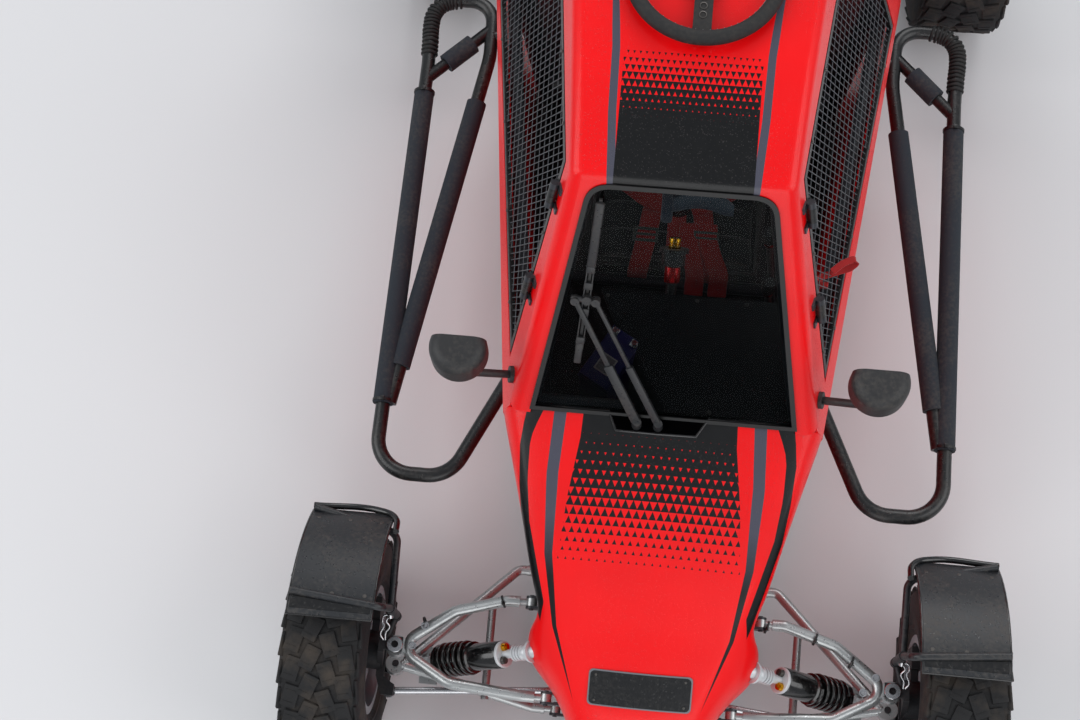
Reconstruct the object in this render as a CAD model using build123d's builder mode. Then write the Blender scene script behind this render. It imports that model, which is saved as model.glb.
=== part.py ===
from build123d import *
import math
import os

os.makedirs("parts", exist_ok=True)

# Overall sizes, millimetres. The nose points to -Y, the floor is Z = 0, and +X is the driver's left.
half_length = 1300
half_width = 745
front_axle_y = -930
rear_axle_y = 950
floor_height = 90

# Wheels
tyre_radius = 250
hub_height = tyre_radius
front_tyre_width = 180
rear_tyre_width = 215
rim_radius = 127
rim_wall = 5
front_wheel_x = half_width - front_tyre_width / 2
rear_wheel_x = half_width - rear_tyre_width / 2
running_gap = 0.08

# Body side: one leaning plane each side, x = side_base + side_flare * y - side_lean * z
side_base = 558.7
side_flare = 0.109
side_lean = 0.2885
panel = 4
door_gap = 6

# Windscreen plane: y = screen_foot_y + screen_rake * (z - screen_foot_z)
screen_foot_y = -482
screen_foot_z = 720
screen_rake = 0.665
screen_top_z = 1160
screen_top_half = 166
screen_foot_half = 259
screen_sheet = 5

# Cabin and roof
cowl_y = -480
cabin_rear_y = 560
roof_front_z = 1176
roof_crown_z = 1220
roof_crown_y = 200
roof_rear_z = 1212
waist_at_origin = 660
waist_slope = -0.09

# Tubes
cage_tube = 38
frame_tube = 30
cage_inset = 42
rail_z = floor_height + panel + frame_tube / 2
hoop_y = 500
eye_width = 16
eye_radius = 12
bolt_radius = 5

# Steering: ball joints of the right-hand (+X) front upright
ball_top = (520, -930, 336)
ball_low = (536, -952, 200)
steer_ball = (540, -1012, 222)


def side_x(y, z):
    """Half width of the body side plane at a place along and above the car."""
    return side_base + side_flare * y - side_lean * z


def screen_y(z):
    """Place of the windscreen's outer face at a height."""
    return screen_foot_y + screen_rake * (z - screen_foot_z)


def waist_z(y):
    """Height of the side panels' upper edge."""
    return waist_at_origin + waist_slope * y


def tube(points, diameter, bend=60):
    """A round tube along straight runs joined by bends."""
    with BuildPart() as run:
        with BuildLine() as path:
            if len(points) == 2:
                Line(*points)
            else:
                FilletPolyline(*points, radius=bend)
        with BuildSketch(Plane(origin=path.wire() @ 0, z_dir=path.wire() % 0)):
            Circle(diameter / 2)
        sweep()
    return run.part


def round_bar(start, end, radius, bore=0):
    """A straight round bar from one point to another, bored through if asked."""
    axis = Vector(*end) - Vector(*start)
    with BuildPart() as bar:
        with BuildSketch(Plane(origin=start, z_dir=axis)):
            Circle(radius)
            if bore:
                Circle(bore, mode=Mode.SUBTRACT)
        extrude(amount=axis.length)
    return bar.part


def block(low, high):
    """A box between two corners."""
    size = Vector(*high) - Vector(*low)
    middle = (Vector(*high) + Vector(*low)) * 0.5
    return Pos(middle.X, middle.Y, middle.Z) * Box(size.X, size.Y, size.Z, mode=Mode.PRIVATE)


def mirrored(piece):
    """The same piece on the car's other side."""
    return mirror(piece, about=Plane.YZ, mode=Mode.PRIVATE)


def finish(piece, name):
    """Label a finished piece and write its file."""
    piece.part.label = name
    export_step(piece.part, f"parts/{name}.step")


# Pivots on the +X side. Columns: x, y, z of the eye, then x and z of the frame tube its bracket reaches
front_pivots = [
    (193, -1010, 350, 145, 350),
    (242, -815, 360, 196, 360),
    (180, -1010, 142, 139, 142),
    (240, -705, 128, 208, 116),
]
rear_pivots = [
    (256, 780, 350, 216, 350),
    (256, 1040, 350, 216, 350),
    (256, 790, 128, 216, 116),
    (256, 1028, 128, 216, 116),
]
damper_head = (204, -926, 455, 162, 397)
rear_damper_head = (265, 876, 590, 230, 594)
# Lower eyes of the coil-overs: x, y, z
damper_foot = (462, -944, 236)
rear_damper_foot = (455, 883, 190)


def clevis(x, y, z, foot_x, foot_z):
    """Two ears and a bolt that hold one eye; the bolt lies along the car."""
    ear = 5
    with BuildPart() as bracket:
        for start in (y - eye_width / 2 - 0.3, y + eye_width / 2 + 0.3 + ear):
            with BuildSketch(Plane.XZ.offset(-start)):
                with Locations((x, z)):
                    Circle(eye_radius)
                with Locations((foot_x, foot_z)):
                    Circle(eye_radius - 1)
                make_hull()
            extrude(amount=ear)
        add(round_bar((x, y - eye_width, z), (x, y + eye_width, z), bolt_radius))
    return bracket.part


def eye(x, y, z):
    """The bored end of a wishbone leg."""
    half = eye_width / 2
    return round_bar((x, y - half, z), (x, y + half, z), eye_radius, bolt_radius + running_gap)


# Frame tubes. A run that ends at X = 0 goes on across the car; the others are made on both sides.
# Columns: points, diameter, bend radius
hoop_waist = (side_x(hoop_y, 625) - cage_inset, hoop_y, 625)
hoop_top = (side_x(hoop_y, 1165) - cage_inset, hoop_y, roof_rear_z - panel - cage_tube / 2 - 3)
pillar_foot = (side_x(-468, 690) - cage_inset, -462, 690)
pillar_head = (side_x(-155, 1150) - cage_inset, -150, 1148)
frame_tubes = [
    ([(105, -1160, rail_z), (258, -478, rail_z), (352, 500, rail_z), (352, 556, rail_z),
      (215, 660, rail_z), (215, 1062, rail_z)], frame_tube, 40),
    ([(352, hoop_y, rail_z), hoop_waist, hoop_top, (0, hoop_y, hoop_top[2])], cage_tube, 60),
    ([(hoop_top[0] - 8, hoop_y, hoop_top[2] - 12), pillar_head, pillar_foot], cage_tube, 60),
    ([(side_x(hoop_y, 590) - 40, hoop_y, 590), (side_x(-470, 665) - 40, -470, 665)], frame_tube, 0),
    ([(258, -478, rail_z), (278, -472, 640), (262, -462, 690), (0, -462, 690)], frame_tube, 24),
    ([(182, -815, rail_z), (200, -815, 448), (0, -815, 448)], frame_tube, 50),
    ([(139, -1010, rail_z), (139, -1010, 385), (0, -1010, 385)], frame_tube, 40),
    ([(135, -1010, 372), (196, -815, 430), (276, -474, 640)], frame_tube, 100),
    ([(385, hoop_y, 400), (215, 690, 350), (215, 1062, 350)], frame_tube, 60),
    ([(215, 1062, rail_z), (215, 1062, 360), (0, 1062, 360)], frame_tube, 50),
    ([(hoop_top[0] + 17, hoop_y + 2, 1120), (216, 1050, 352)], frame_tube, 0),
    ([(215, 660, rail_z), (215, 700, 350)], frame_tube, 0),
    ([(105, -1158, rail_z), (0, -1158, rail_z)], frame_tube, 0),
    ([(255, -480, rail_z), (0, -480, rail_z)], frame_tube - 4, 0),
    ([(305, 20, rail_z), (0, 20, rail_z)], frame_tube, 0),
    ([(349, hoop_y - 2, rail_z), (0, hoop_y - 2, rail_z)], frame_tube - 4, 0),
    ([(215, 700, rail_z), (0, 700, rail_z)], frame_tube, 0),
    ([(215, 1062, rail_z), (0, 1062, rail_z)], frame_tube, 0),
    ([pillar_head, (0, pillar_head[1], pillar_head[2])], cage_tube - 4, 0),
]


def across(points):
    """The points of a run together with their mirror images."""
    kept = points[:-1]
    return kept + [(-x, y, z) for x, y, z in reversed(kept)]


# The welded frame is kept as four pieces that meet at flat cuts
deck_cut_z = rail_z + frame_tube / 2 + 2
front_cut_y = -440
rear_cut_y = hoop_y + cage_tube / 2 + 2
far = 3000


def frame_region(low, high, brackets):
    """The frame tubes inside one box, welded together with their brackets."""
    with BuildPart() as region:
        for points, diameter, bend in frame_tubes:
            crossing = points[-1][0] == 0
            run = tube(across(points), diameter, bend) if crossing else tube(points, diameter, bend)
            cut = run & block(low, high)
            if cut is None or not cut.solids():
                continue
            add(cut)
            if not crossing:
                add(mirrored(cut))
        for pivot in brackets:
            bracket = clevis(*pivot)
            add(bracket)
            add(mirrored(bracket))
    return region


lower_frame = frame_region((-far, -far, 0), (far, far, deck_cut_z), [front_pivots[3], *rear_pivots[2:]])
nose_frame = frame_region((-far, -far, deck_cut_z), (far, front_cut_y, far), [*front_pivots[:3], damper_head])
roll_cage = frame_region((-far, front_cut_y, deck_cut_z), (far, rear_cut_y, far), [])
rear_frame = frame_region((-far, rear_cut_y, deck_cut_z), (far, far, far), [*rear_pivots[:2], rear_damper_head])
finish(lower_frame, "lower_frame")
finish(roll_cage, "roll_cage")

# Floor tray under the rails
tray_outline = [(118, -1165), (285, -480), (376, 500), (376, 556), (236, 662), (236, 1076)]
with BuildPart() as floor_tray:
    with BuildSketch(Plane.XY.offset(floor_height)):
        with BuildLine():
            Polyline(*tray_outline, *[(-x, y) for x, y in reversed(tray_outline)], close=True)
        make_face()
    extrude(amount=panel)
finish(floor_tray, "floor_tray")

# Nose sections. Columns: y, top half width, top z, crown, side half width, side z, floor half width, floor z
nose_sections = [
    (-1205, 70, 372, 8, 92, 320, 84, 215),
    (-1110, 104, 436, 12, 142, 370, 126, 118),
    (-1010, 140, 478, 14, 184, 400, 152, 100),
    (-907, 186, 516, 16, 231, 420, 196, 96),
    (-780, 236, 572, 18, 250, 500, 228, 94),
    (cowl_y, 286, 702, 16, 322, 640, 291, 94),
]


def nose_loft(inset, front_shift, rear_shift, drop):
    """The nose form through its sections; the inset copy hollows it."""
    with BuildPart() as form:
        last = len(nose_sections) - 1
        for index, (y, top, top_z, crown, side, side_z, floor, floor_z) in enumerate(nose_sections):
            shift = front_shift if index == 0 else rear_shift if index == last else 0
            top, side, floor = top - inset * 0.6, side - inset, floor - inset
            top_z, side_z, floor_z = top_z - inset, side_z - inset * 0.5, floor_z - drop
            shoulder = ((top + side) / 2 + 9, (top_z + side_z) / 2 + 9)
            with BuildSketch(Plane(origin=(0, y + shift, 0), x_dir=(1, 0, 0), z_dir=(0, -1, 0))):
                with BuildLine():
                    Line((-floor, floor_z), (floor, floor_z))
                    Line((floor, floor_z), (side, side_z))
                    ThreePointArc((side, side_z), shoulder, (top, top_z))
                    ThreePointArc((top, top_z), (0, top_z + crown), (-top, top_z))
                    ThreePointArc((-top, top_z), (-shoulder[0], shoulder[1]), (-side, side_z))
                    Line((-side, side_z), (-floor, floor_z))
                make_face()
        loft(ruled=True)
    return form.part


nose_outer = nose_loft(0, 0, 0, 0)
nose_inner = nose_loft(panel, 8, 20, 30)
# Holes in the nose sides for the wishbone ends and tie rods. Columns: x, y, z, half x, half y, half z
nose_holes = [(x, y, z, 60, eye_width + 10, eye_radius + 10) for x, y, z, foot_x, foot_z in front_pivots]
nose_holes.append((160, -979, 218, 60, 20, 20))
with BuildPart() as nose_panel:
    add(nose_outer)
    add(nose_inner, mode=Mode.SUBTRACT)
    for x, y, z, half_x, half_y, half_z in nose_holes:
        for side in (-1, 1):
            with Locations((side * x, y, z)):
                Box(2 * half_x, 2 * half_y, 2 * half_z, mode=Mode.SUBTRACT)
    damper_hole = round_bar((190, -926, 467), damper_foot, 25)
    for hole in (damper_hole, mirrored(damper_hole), lower_frame.part):
        add(hole, mode=Mode.SUBTRACT)
    add(block((-400, -1400, 0), (400, -400, floor_height + panel)), mode=Mode.SUBTRACT)
finish(nose_panel, "nose_panel")

# Side panels from the cowl to behind the cabin. Columns: y, top drop, middle z, middle bulge, floor half width
side_sections = [
    (cowl_y + 0.3, 640, 322, 291),
    (cabin_rear_y, 560, 452, 384),
]


def side_form():
    """One side panel: a thin shell between two sections."""
    with BuildPart() as form:
        for y, middle_z, middle_x, floor_x in side_sections:
            top_z = waist_z(y)
            top_x = side_x(y, top_z)
            foot_z = floor_height + panel
            with BuildSketch(Plane(origin=(0, y, 0), x_dir=(1, 0, 0), z_dir=(0, -1, 0))):
                with BuildLine():
                    Line((floor_x, foot_z), (middle_x, middle_z))
                    Line((middle_x, middle_z), (top_x, top_z))
                    Line((top_x, top_z), (top_x - panel, top_z))
                    Line((top_x - panel, top_z), (middle_x - panel, middle_z))
                    Line((middle_x - panel, middle_z), (floor_x - panel, foot_z))
                    Line((floor_x - panel, foot_z), (floor_x, foot_z))
                make_face()
        loft(ruled=True)
    return form.part


with BuildPart() as side_panel_right:
    add(side_form())
finish(side_panel_right, "side_panel_right")
with BuildPart() as side_panel_left:
    add(mirrored(side_panel_right.part))
finish(side_panel_left, "side_panel_left")


roof_edge_radius = 26
roof_start = (screen_y(roof_front_z) - 60, roof_front_z - 10)
roof_end = (cabin_rear_y + 60, roof_rear_z)


def roof_circle():
    """Centre height and radius of the roof's arc through its three points."""
    (y1, z1), (y2, z2), (y3, z3) = roof_start, (roof_crown_y, roof_crown_z), roof_end
    scale = 2 * (y1 * (z2 - z3) + y2 * (z3 - z1) + y3 * (z1 - z2))
    squares = [y * y + z * z for y, z in ((y1, z1), (y2, z2), (y3, z3))]
    centre_y = (squares[0] * (z2 - z3) + squares[1] * (z3 - z1) + squares[2] * (z1 - z2)) / scale
    centre_z = (squares[0] * (y3 - y2) + squares[1] * (y1 - y3) + squares[2] * (y2 - y1)) / scale
    return centre_y, centre_z, math.hypot(y1 - centre_y, z1 - centre_z)


def roof_z(y):
    """Height of the roof's outer face along the middle."""
    centre_y, centre_z, radius = roof_circle()
    return centre_z + math.sqrt(radius ** 2 - (y - centre_y) ** 2)


def greenhouse(inset, low_z, high_z, rear_y):
    """The cabin form above the waist: screen plane, leaning sides and crowned roof."""
    with BuildPart() as form:
        for z in (low_z, high_z):
            front = screen_y(z) + inset * 1.2
            half_front = side_x(front, z) - inset * 1.05
            half_rear = side_x(rear_y, z) - inset * 1.05
            with BuildSketch(Plane.XY.offset(z)):
                Polygon((-half_front, front), (half_front, front), (half_rear, rear_y),
                        (-half_rear, rear_y), align=None)
        loft(ruled=True)
        start, end = (roof_start[0], roof_start[1] - inset), (roof_end[0], roof_end[1] - inset)
        with BuildSketch(Plane.YZ):
            with BuildLine():
                ThreePointArc(start, (roof_crown_y, roof_crown_z - inset), end)
                Polyline(end, (end[0], low_z), (-900, low_z), (-900, start[1]), start)
            make_face()
        extrude(amount=600, both=True, mode=Mode.INTERSECT)
        round_edges = [e for e in form.edges() if rear_y - e.center().Y > 5 and e.center().Z > low_z + 5]
        fillet(round_edges, radius=roof_edge_radius - inset)
    return form.part


with BuildPart() as cabin_outer:
    add(greenhouse(0, 600, 1300, cabin_rear_y))

# Windscreen plane, its local Y running up the slope
slope = Vector(0, screen_rake, 1).normalized()
screen_plane = Plane(origin=(0, screen_foot_y, screen_foot_z), x_dir=(1, 0, 0),
                     z_dir=Vector(0, -1, screen_rake).normalized())


def up_screen(z):
    """Distance up the windscreen's slope from its foot to a height."""
    return (z - screen_foot_z) / slope.Z


def screen_outline(margin, low_z):
    """The windscreen opening from a lower height up, grown or shrunk by a margin."""
    top, low = up_screen(screen_top_z) + margin, up_screen(low_z)
    spread = (screen_foot_half - screen_top_half) / up_screen(screen_top_z)
    half_top = screen_foot_half - spread * top + margin
    half_low = screen_foot_half - spread * low + margin
    with BuildSketch(mode=Mode.PRIVATE) as opening:
        with BuildLine():
            FilletPolyline((-half_low, low), (-half_top, top), (half_top, top), (half_low, low),
                           radius=[34, 34])
            Line((half_low, low), (-half_low, low))
        make_face()
    return opening.sketch


# Door outline on the body side. Columns: y, z
hinge_slope = 0.573
hinge_y_at_900 = -289


def hinge_y(z):
    """Place of the door's hinge line at a height."""
    return hinge_y_at_900 + hinge_slope * (z - 900)


door_top_z = 1138
door_rear_y = 462
door_foot_y = -372
door_corners = [
    (hinge_y(door_top_z) + 14, door_top_z),
    (door_foot_y, waist_z(door_foot_y) + 12),
    (door_rear_y, waist_z(door_rear_y) + 8),
    (door_rear_y, door_top_z),
]
door_origin = Vector(side_x(0, 900), 0, 900)
door_along = Vector(side_flare, 1, 0).normalized()
door_normal = Vector(1, -side_flare, side_lean).normalized()
door_plane = Plane(origin=door_origin, x_dir=door_along, z_dir=door_normal)


def on_door(y, z):
    """A place on the body side in the door plane's own coordinates."""
    local = door_plane.to_local_coords(Vector(side_x(y, z), y, z))
    return (local.X, local.Y)


door_points = [on_door(y, z) for y, z in door_corners]
with BuildPart() as door_cutter:
    with BuildSketch(door_plane.offset(-60)):
        Polygon(*door_points, align=None)
        offset(amount=door_gap, kind=Kind.INTERSECTION)
    extrude(amount=120)

with BuildPart() as roof_shell:
    add(cabin_outer.part)
    add(greenhouse(panel + 1, 500, 1290, cabin_rear_y + 30), mode=Mode.SUBTRACT)
    add(door_cutter.part, mode=Mode.SUBTRACT)
    add(mirrored(door_cutter.part), mode=Mode.SUBTRACT)
    with BuildSketch(screen_plane.offset(-40)):
        add(screen_outline(0, screen_foot_z - 70))
    extrude(amount=80, mode=Mode.SUBTRACT)
    with BuildSketch(Plane.YZ):
        Polygon((-900, waist_z(-900)), (900, waist_z(900)), (900, 0), (-900, 0), align=None)
    extrude(amount=900, both=True, mode=Mode.SUBTRACT)
    add(nose_outer, mode=Mode.SUBTRACT)
finish(roof_shell, "roof_shell")

# Windscreen sheet in its opening
with BuildPart() as windscreen:
    with BuildSketch(screen_plane.offset(-1 - screen_sheet)):
        add(screen_outline(-0.5, screen_foot_z + 4))
    extrude(amount=screen_sheet)
finish(windscreen, "windscreen")

# Mesh doors: a flat frame, its welded mesh, and the hinge parts along the pillar
door_bar = 14
door_thick = 10
mesh_pitch = 50
mesh_wire = 5
mesh_thick = 3
hinge_stand = 11
hinge_radius = 9
hinge_pin = 4
hinge_heights = (890, 1085)


def hinge_frame(z):
    """Plane on the hinge axis: X points back over the door, Z up the pillar, Y inward."""
    low = Vector(side_x(hinge_y(z), z), hinge_y(z), z)
    high = Vector(side_x(hinge_y(z + 100), z + 100), hinge_y(z + 100), z + 100)
    up = (high - low).normalized()
    return Plane(origin=low + door_normal * hinge_stand, x_dir=up.cross(door_normal), z_dir=up)


with BuildPart() as door_frame:
    with BuildSketch(door_plane.offset(-door_thick)):
        Polygon(*door_points, align=None)
        offset(amount=-door_bar, kind=Kind.INTERSECTION, mode=Mode.SUBTRACT)
    extrude(amount=door_thick)
    for z in hinge_heights:
        frame_here = hinge_frame(z)
        with BuildSketch(frame_here.offset(-15)):
            Circle(hinge_radius)
            with Locations((14, hinge_stand - 2)):
                Rectangle(28, 4)
            Circle(hinge_pin + running_gap, mode=Mode.SUBTRACT)
        extrude(amount=30)
with BuildPart() as door_mesh:
    with BuildSketch(door_plane.offset(-door_thick / 2 - mesh_thick / 2)):
        Polygon(*door_points, align=None)
        offset(amount=-door_bar, kind=Kind.INTERSECTION, mode=Mode.REPLACE)
    extrude(amount=mesh_thick)
    low_u = min(u for u, v in door_points)
    low_v = min(v for u, v in door_points)
    cells_u = int((max(u for u, v in door_points) - low_u) / mesh_pitch) + 1
    cells_v = int((max(v for u, v in door_points) - low_v) / mesh_pitch) + 1
    with BuildSketch(door_plane.offset(-door_thick)):
        Polygon(*door_points, align=None)
        offset(amount=-door_bar - mesh_wire, kind=Kind.INTERSECTION, mode=Mode.REPLACE)
        with Locations((low_u + cells_u * mesh_pitch / 2, low_v + cells_v * mesh_pitch / 2)):
            with GridLocations(mesh_pitch, mesh_pitch, cells_u, cells_v):
                Rectangle(mesh_pitch - mesh_wire, mesh_pitch - mesh_wire, mode=Mode.INTERSECT)
    extrude(amount=door_thick, mode=Mode.SUBTRACT)
with BuildPart() as door_hinges:
    for z in hinge_heights:
        frame_here = hinge_frame(z)
        for start in (-28, 15.5):
            with BuildSketch(frame_here.offset(start)):
                Circle(hinge_radius)
                with Locations((-12, hinge_stand - 2)):
                    Rectangle(24, 4)
            extrude(amount=12.5)
        with BuildSketch(frame_here.offset(-28)):
            Circle(hinge_pin)
        extrude(amount=56)
    mirror(about=Plane.YZ)
finish(door_frame, "door_frame_right")
finish(door_mesh, "door_mesh_right")
finish(door_hinges, "door_hinges")
for right, name in ((door_frame, "door_frame_left"), (door_mesh, "door_mesh_left")):
    with BuildPart() as left_piece:
        add(mirrored(right.part))
    finish(left_piece, name)

# Firewall behind the hoop
firewall_y = rear_cut_y + 1
with BuildPart() as firewall:
    with BuildSketch(Plane.XZ.offset(-firewall_y - 3)):
        Polygon((-335, deck_cut_z + 1), (335, deck_cut_z + 1), (side_x(firewall_y, 600) - 16, 600),
                (side_x(firewall_y, 1150) - 40, 1150), (-side_x(firewall_y, 1150) + 40, 1150),
                (-side_x(firewall_y, 600) + 16, 600), align=None)
    extrude(amount=3)
    add(rear_frame.part, mode=Mode.SUBTRACT)
finish(firewall, "firewall")

# Dashboard shelf over the driver's shins, open at the right
dash_z = 690 + frame_tube / 2 + 0.3
dash_rear_y = -221
with BuildPart() as dashboard:
    with BuildSketch(Plane.XY.offset(dash_z)):
        Polygon((-146, dash_rear_y), (-146, -476), (252, -476), (262, -330), (262, dash_rear_y), align=None)
    extrude(amount=3)
    add(block((-146, dash_rear_y - 3, dash_z - 24), (262, dash_rear_y, dash_z)))
    add(nose_frame.part, mode=Mode.SUBTRACT)
    add(roll_cage.part, mode=Mode.SUBTRACT)
finish(dashboard, "dashboard")

# Steering column, its support bush, quick release, rack and tie rods
column_radius = 11
column_top = (-4, -156, 700)
column_low = (-4, -948, 247)
column_axis = (Vector(*column_top) - Vector(*column_low)).normalized()
bush_centre = Vector(*column_low) + column_axis * ((-462 - column_low[1]) / column_axis.Y)
with BuildPart() as steering_column:
    hub_end = Vector(*column_top) + column_axis * 26
    add(round_bar(column_low, column_top, column_radius))
    add(round_bar(tuple(hub_end - column_axis * 26), tuple(hub_end), 24))
    add(round_bar(tuple(hub_end), tuple(hub_end + column_axis * 8), 30))
finish(steering_column, "steering_column")
with BuildPart() as nose_frame_full:
    add(nose_frame.part)
    add(block((-7, -470, bush_centre.Z + 10), (-1, -454, 690)))
    add(round_bar(tuple(bush_centre - column_axis * 14), tuple(bush_centre + column_axis * 14), 18))
    add(round_bar(column_low, column_top, column_radius + running_gap), mode=Mode.SUBTRACT)
finish(nose_frame_full, "nose_frame")

rack_y, rack_z = -975, 218
rack_radius = 11
rack_travel = 28
tie_radius = 8
with BuildPart() as steering_rack:
    add(round_bar((-112, rack_y, rack_z), (112, rack_y, rack_z), 20))
    for side in (-1, 1):
        add(block((side * 100 - 12, rack_y - 22, rack_z - 20), (side * 100 + 12, rack_y + 10, rack_z + 8)))
        add(block((min(side * 90, side * 135), rack_y - 35, rack_z - 20),
                  (max(side * 90, side * 135), rack_y - 15, rack_z - 8)))
    add(round_bar((-200, rack_y, rack_z), (200, rack_y, rack_z), rack_radius + running_gap), mode=Mode.SUBTRACT)
    add(round_bar(column_low, column_top, column_radius + 1), mode=Mode.SUBTRACT)
    add(nose_frame.part, mode=Mode.SUBTRACT)
finish(steering_rack, "steering_rack")
with BuildPart() as tie_rods:
    inner = (150, rack_y, rack_z)
    outer = (steer_ball[0] - 10, steer_ball[1] + 1, steer_ball[2])
    add(round_bar(inner, outer, tie_radius))
    add(round_bar((steer_ball[0], steer_ball[1], steer_ball[2] - 7),
                  (steer_ball[0], steer_ball[1], steer_ball[2] + 7), 15, 5))
    mirror(about=Plane.YZ)
    add(round_bar((-160, rack_y, rack_z), (160, rack_y, rack_z), rack_radius))
finish(tie_rods, "tie_rods")

# Wheels turn on X. A rim is a barrel with flanges and a windowed dish.
stub_radius = 15


def rim_form(centre_x, axle_y, width, bore):
    """One wheel rim with its hub, built about its axle."""
    half = width / 2 - 14
    inner = rim_radius - rim_wall
    dish = 20
    with BuildPart() as rim:
        with BuildSketch(Plane.XY) as barrel:
            with BuildLine():
                Polyline((-half, inner), (-half, rim_radius + 12), (-half + 4, rim_radius + 12),
                         (-half + 6, rim_radius), (half - 6, rim_radius), (half - 4, rim_radius + 12),
                         (half, rim_radius + 12), (half, inner), close=True)
            make_face()
        revolve(axis=Axis.X)
        with BuildSketch(Plane.YZ.offset(dish)):
            Circle(inner + 1)
            Circle(bore, mode=Mode.SUBTRACT)
            with PolarLocations(78, 6):
                Circle(20, mode=Mode.SUBTRACT)
        extrude(amount=8)
        with BuildSketch(Plane.YZ.offset(-30)):
            Circle(38)
            Circle(bore, mode=Mode.SUBTRACT)
        extrude(amount=30 + dish + 20)
        with BuildSketch(Plane.YZ.offset(-55)):
            Circle(95)
            Circle(bore, mode=Mode.SUBTRACT)
        extrude(amount=5)
        with BuildSketch(Plane.YZ.offset(-52)):
            Circle(30)
            Circle(bore, mode=Mode.SUBTRACT)
        extrude(amount=24)
    return Pos(centre_x, axle_y, hub_height) * rim.part


def tyre_form(centre_x, axle_y, width):
    """One tyre: rounded shoulders, a flat tread and bulged walls."""
    half = width / 2
    bead = half - 18
    low = rim_radius + 0.2
    with BuildPart() as tyre:
        with BuildSketch(Plane.XY):
            with BuildLine():
                Line((-bead, low), (bead, low))
                ThreePointArc((bead, low), (half, 192), (half - 12, tyre_radius - 14))
                Line((half - 12, tyre_radius - 14), (half - 30, tyre_radius))
                Line((half - 30, tyre_radius), (30 - half, tyre_radius))
                Line((30 - half, tyre_radius), (12 - half, tyre_radius - 14))
                ThreePointArc((12 - half, tyre_radius - 14), (-half, 192), (-bead, low))
            make_face()
        revolve(axis=Axis.X)
    return Pos(centre_x, axle_y, hub_height) * tyre.part


wheel_table = [
    ("front", front_wheel_x, front_axle_y, front_tyre_width),
    ("rear", rear_wheel_x, rear_axle_y, rear_tyre_width),
]
for place, wheel_x, axle_y, width in wheel_table:
    with BuildPart() as rim_right:
        add(rim_form(wheel_x, axle_y, width, stub_radius + running_gap))
    with BuildPart() as tyre_right:
        add(tyre_form(wheel_x, axle_y, width))
        add(rim_right.part, mode=Mode.SUBTRACT)
    for node, kind in ((rim_right, "rim"), (tyre_right, "tyre")):
        finish(node, f"{kind}_{place}_right")
        with BuildPart() as left_piece:
            add(mirrored(node.part))
        finish(left_piece, f"{kind}_{place}_left")

# Front upright that steers on its two ball joints
kingpin = Vector(*ball_top) - Vector(*ball_low)
kingpin_plane = Plane(origin=ball_low, x_dir=(1, 0, 0), z_dir=kingpin)
pin_radius = 7
ring_radius = 22
ring_half = 10
tab_gap = 5
tab_thick = 9
with BuildPart(kingpin_plane) as knuckle:
    low_tab = -ring_half - tab_gap - tab_thick
    top_tab = kingpin.length + ring_half + tab_gap
    top_pin = top_tab - tab_gap - 2 * ring_half
    for start, length in ((low_tab, ring_half + 4 - low_tab), (top_pin, top_tab + tab_thick - top_pin)):
        with Locations((0, 0, start)):
            Cylinder(pin_radius, length, align=(Align.CENTER, Align.CENTER, Align.MIN))
    for start in (low_tab, top_tab):
        with Locations((10, 0, start)):
            Box(44, 30, tab_thick, align=(Align.CENTER, Align.CENTER, Align.MIN))
    with Locations((32, 0, low_tab)):
        Box(12, 44, top_tab + tab_thick - low_tab, align=(Align.CENTER, Align.CENTER, Align.MIN))
with BuildPart() as knuckle_right:
    add(knuckle.part)
    add(round_bar((560, front_axle_y, hub_height), (592, front_axle_y, hub_height), 42))
    add(round_bar((590, front_axle_y, hub_height), (front_wheel_x + 30, front_axle_y, hub_height), stub_radius))
    arm_z = steer_ball[2] + 15
    with BuildSketch(Plane.XY.offset(arm_z)):
        Polygon((553, -925), (572, -925), (570, -985), (555, -1024), (528, -1024), (528, -1000), (553, -985),
                align=None)
    extrude(amount=10)
    add(block((572, -866, 224), (622, -818, 276)))
    add(block((572, -905, 232), (588, -850, 268)))
    add(block((594, -880, 200), (611, -829, 300)), mode=Mode.SUBTRACT)
    add(round_bar((540, -915, 354), (527, -868, 354), 8))
    add(round_bar((527, -868, 344), (527, -868, 364), 11))
finish(knuckle_right, "knuckle_right")
with BuildPart() as knuckle_left:
    add(mirrored(knuckle_right.part))
finish(knuckle_left, "knuckle_left")

# Front mudguard, carried by the upright
guard_radius = 310
guard_sheet = 3
guard_from, guard_to = 32, 87


def guard_arc(radius, angle, axle_y):
    """A point on a circle about an axle; the angle is measured up from straight back."""
    return (axle_y + radius * math.cos(math.radians(angle)), hub_height + radius * math.sin(math.radians(angle)))


def guard_sheet_form(axle_y, low_x, high_x, start, end):
    """A curved sheet over a tyre."""
    middle = (start + end) / 2
    outer = guard_radius + guard_sheet
    with BuildPart() as sheet:
        with BuildSketch(Plane.YZ.offset(low_x)):
            with BuildLine():
                ThreePointArc(guard_arc(guard_radius, start, axle_y), guard_arc(guard_radius, middle, axle_y),
                              guard_arc(guard_radius, end, axle_y))
                Line(guard_arc(guard_radius, end, axle_y), guard_arc(outer, end, axle_y))
                ThreePointArc(guard_arc(outer, end, axle_y), guard_arc(outer, middle, axle_y),
                              guard_arc(outer, start, axle_y))
                Line(guard_arc(outer, start, axle_y), guard_arc(guard_radius, start, axle_y))
            make_face()
        extrude(amount=high_x - low_x)
    return sheet.part


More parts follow.
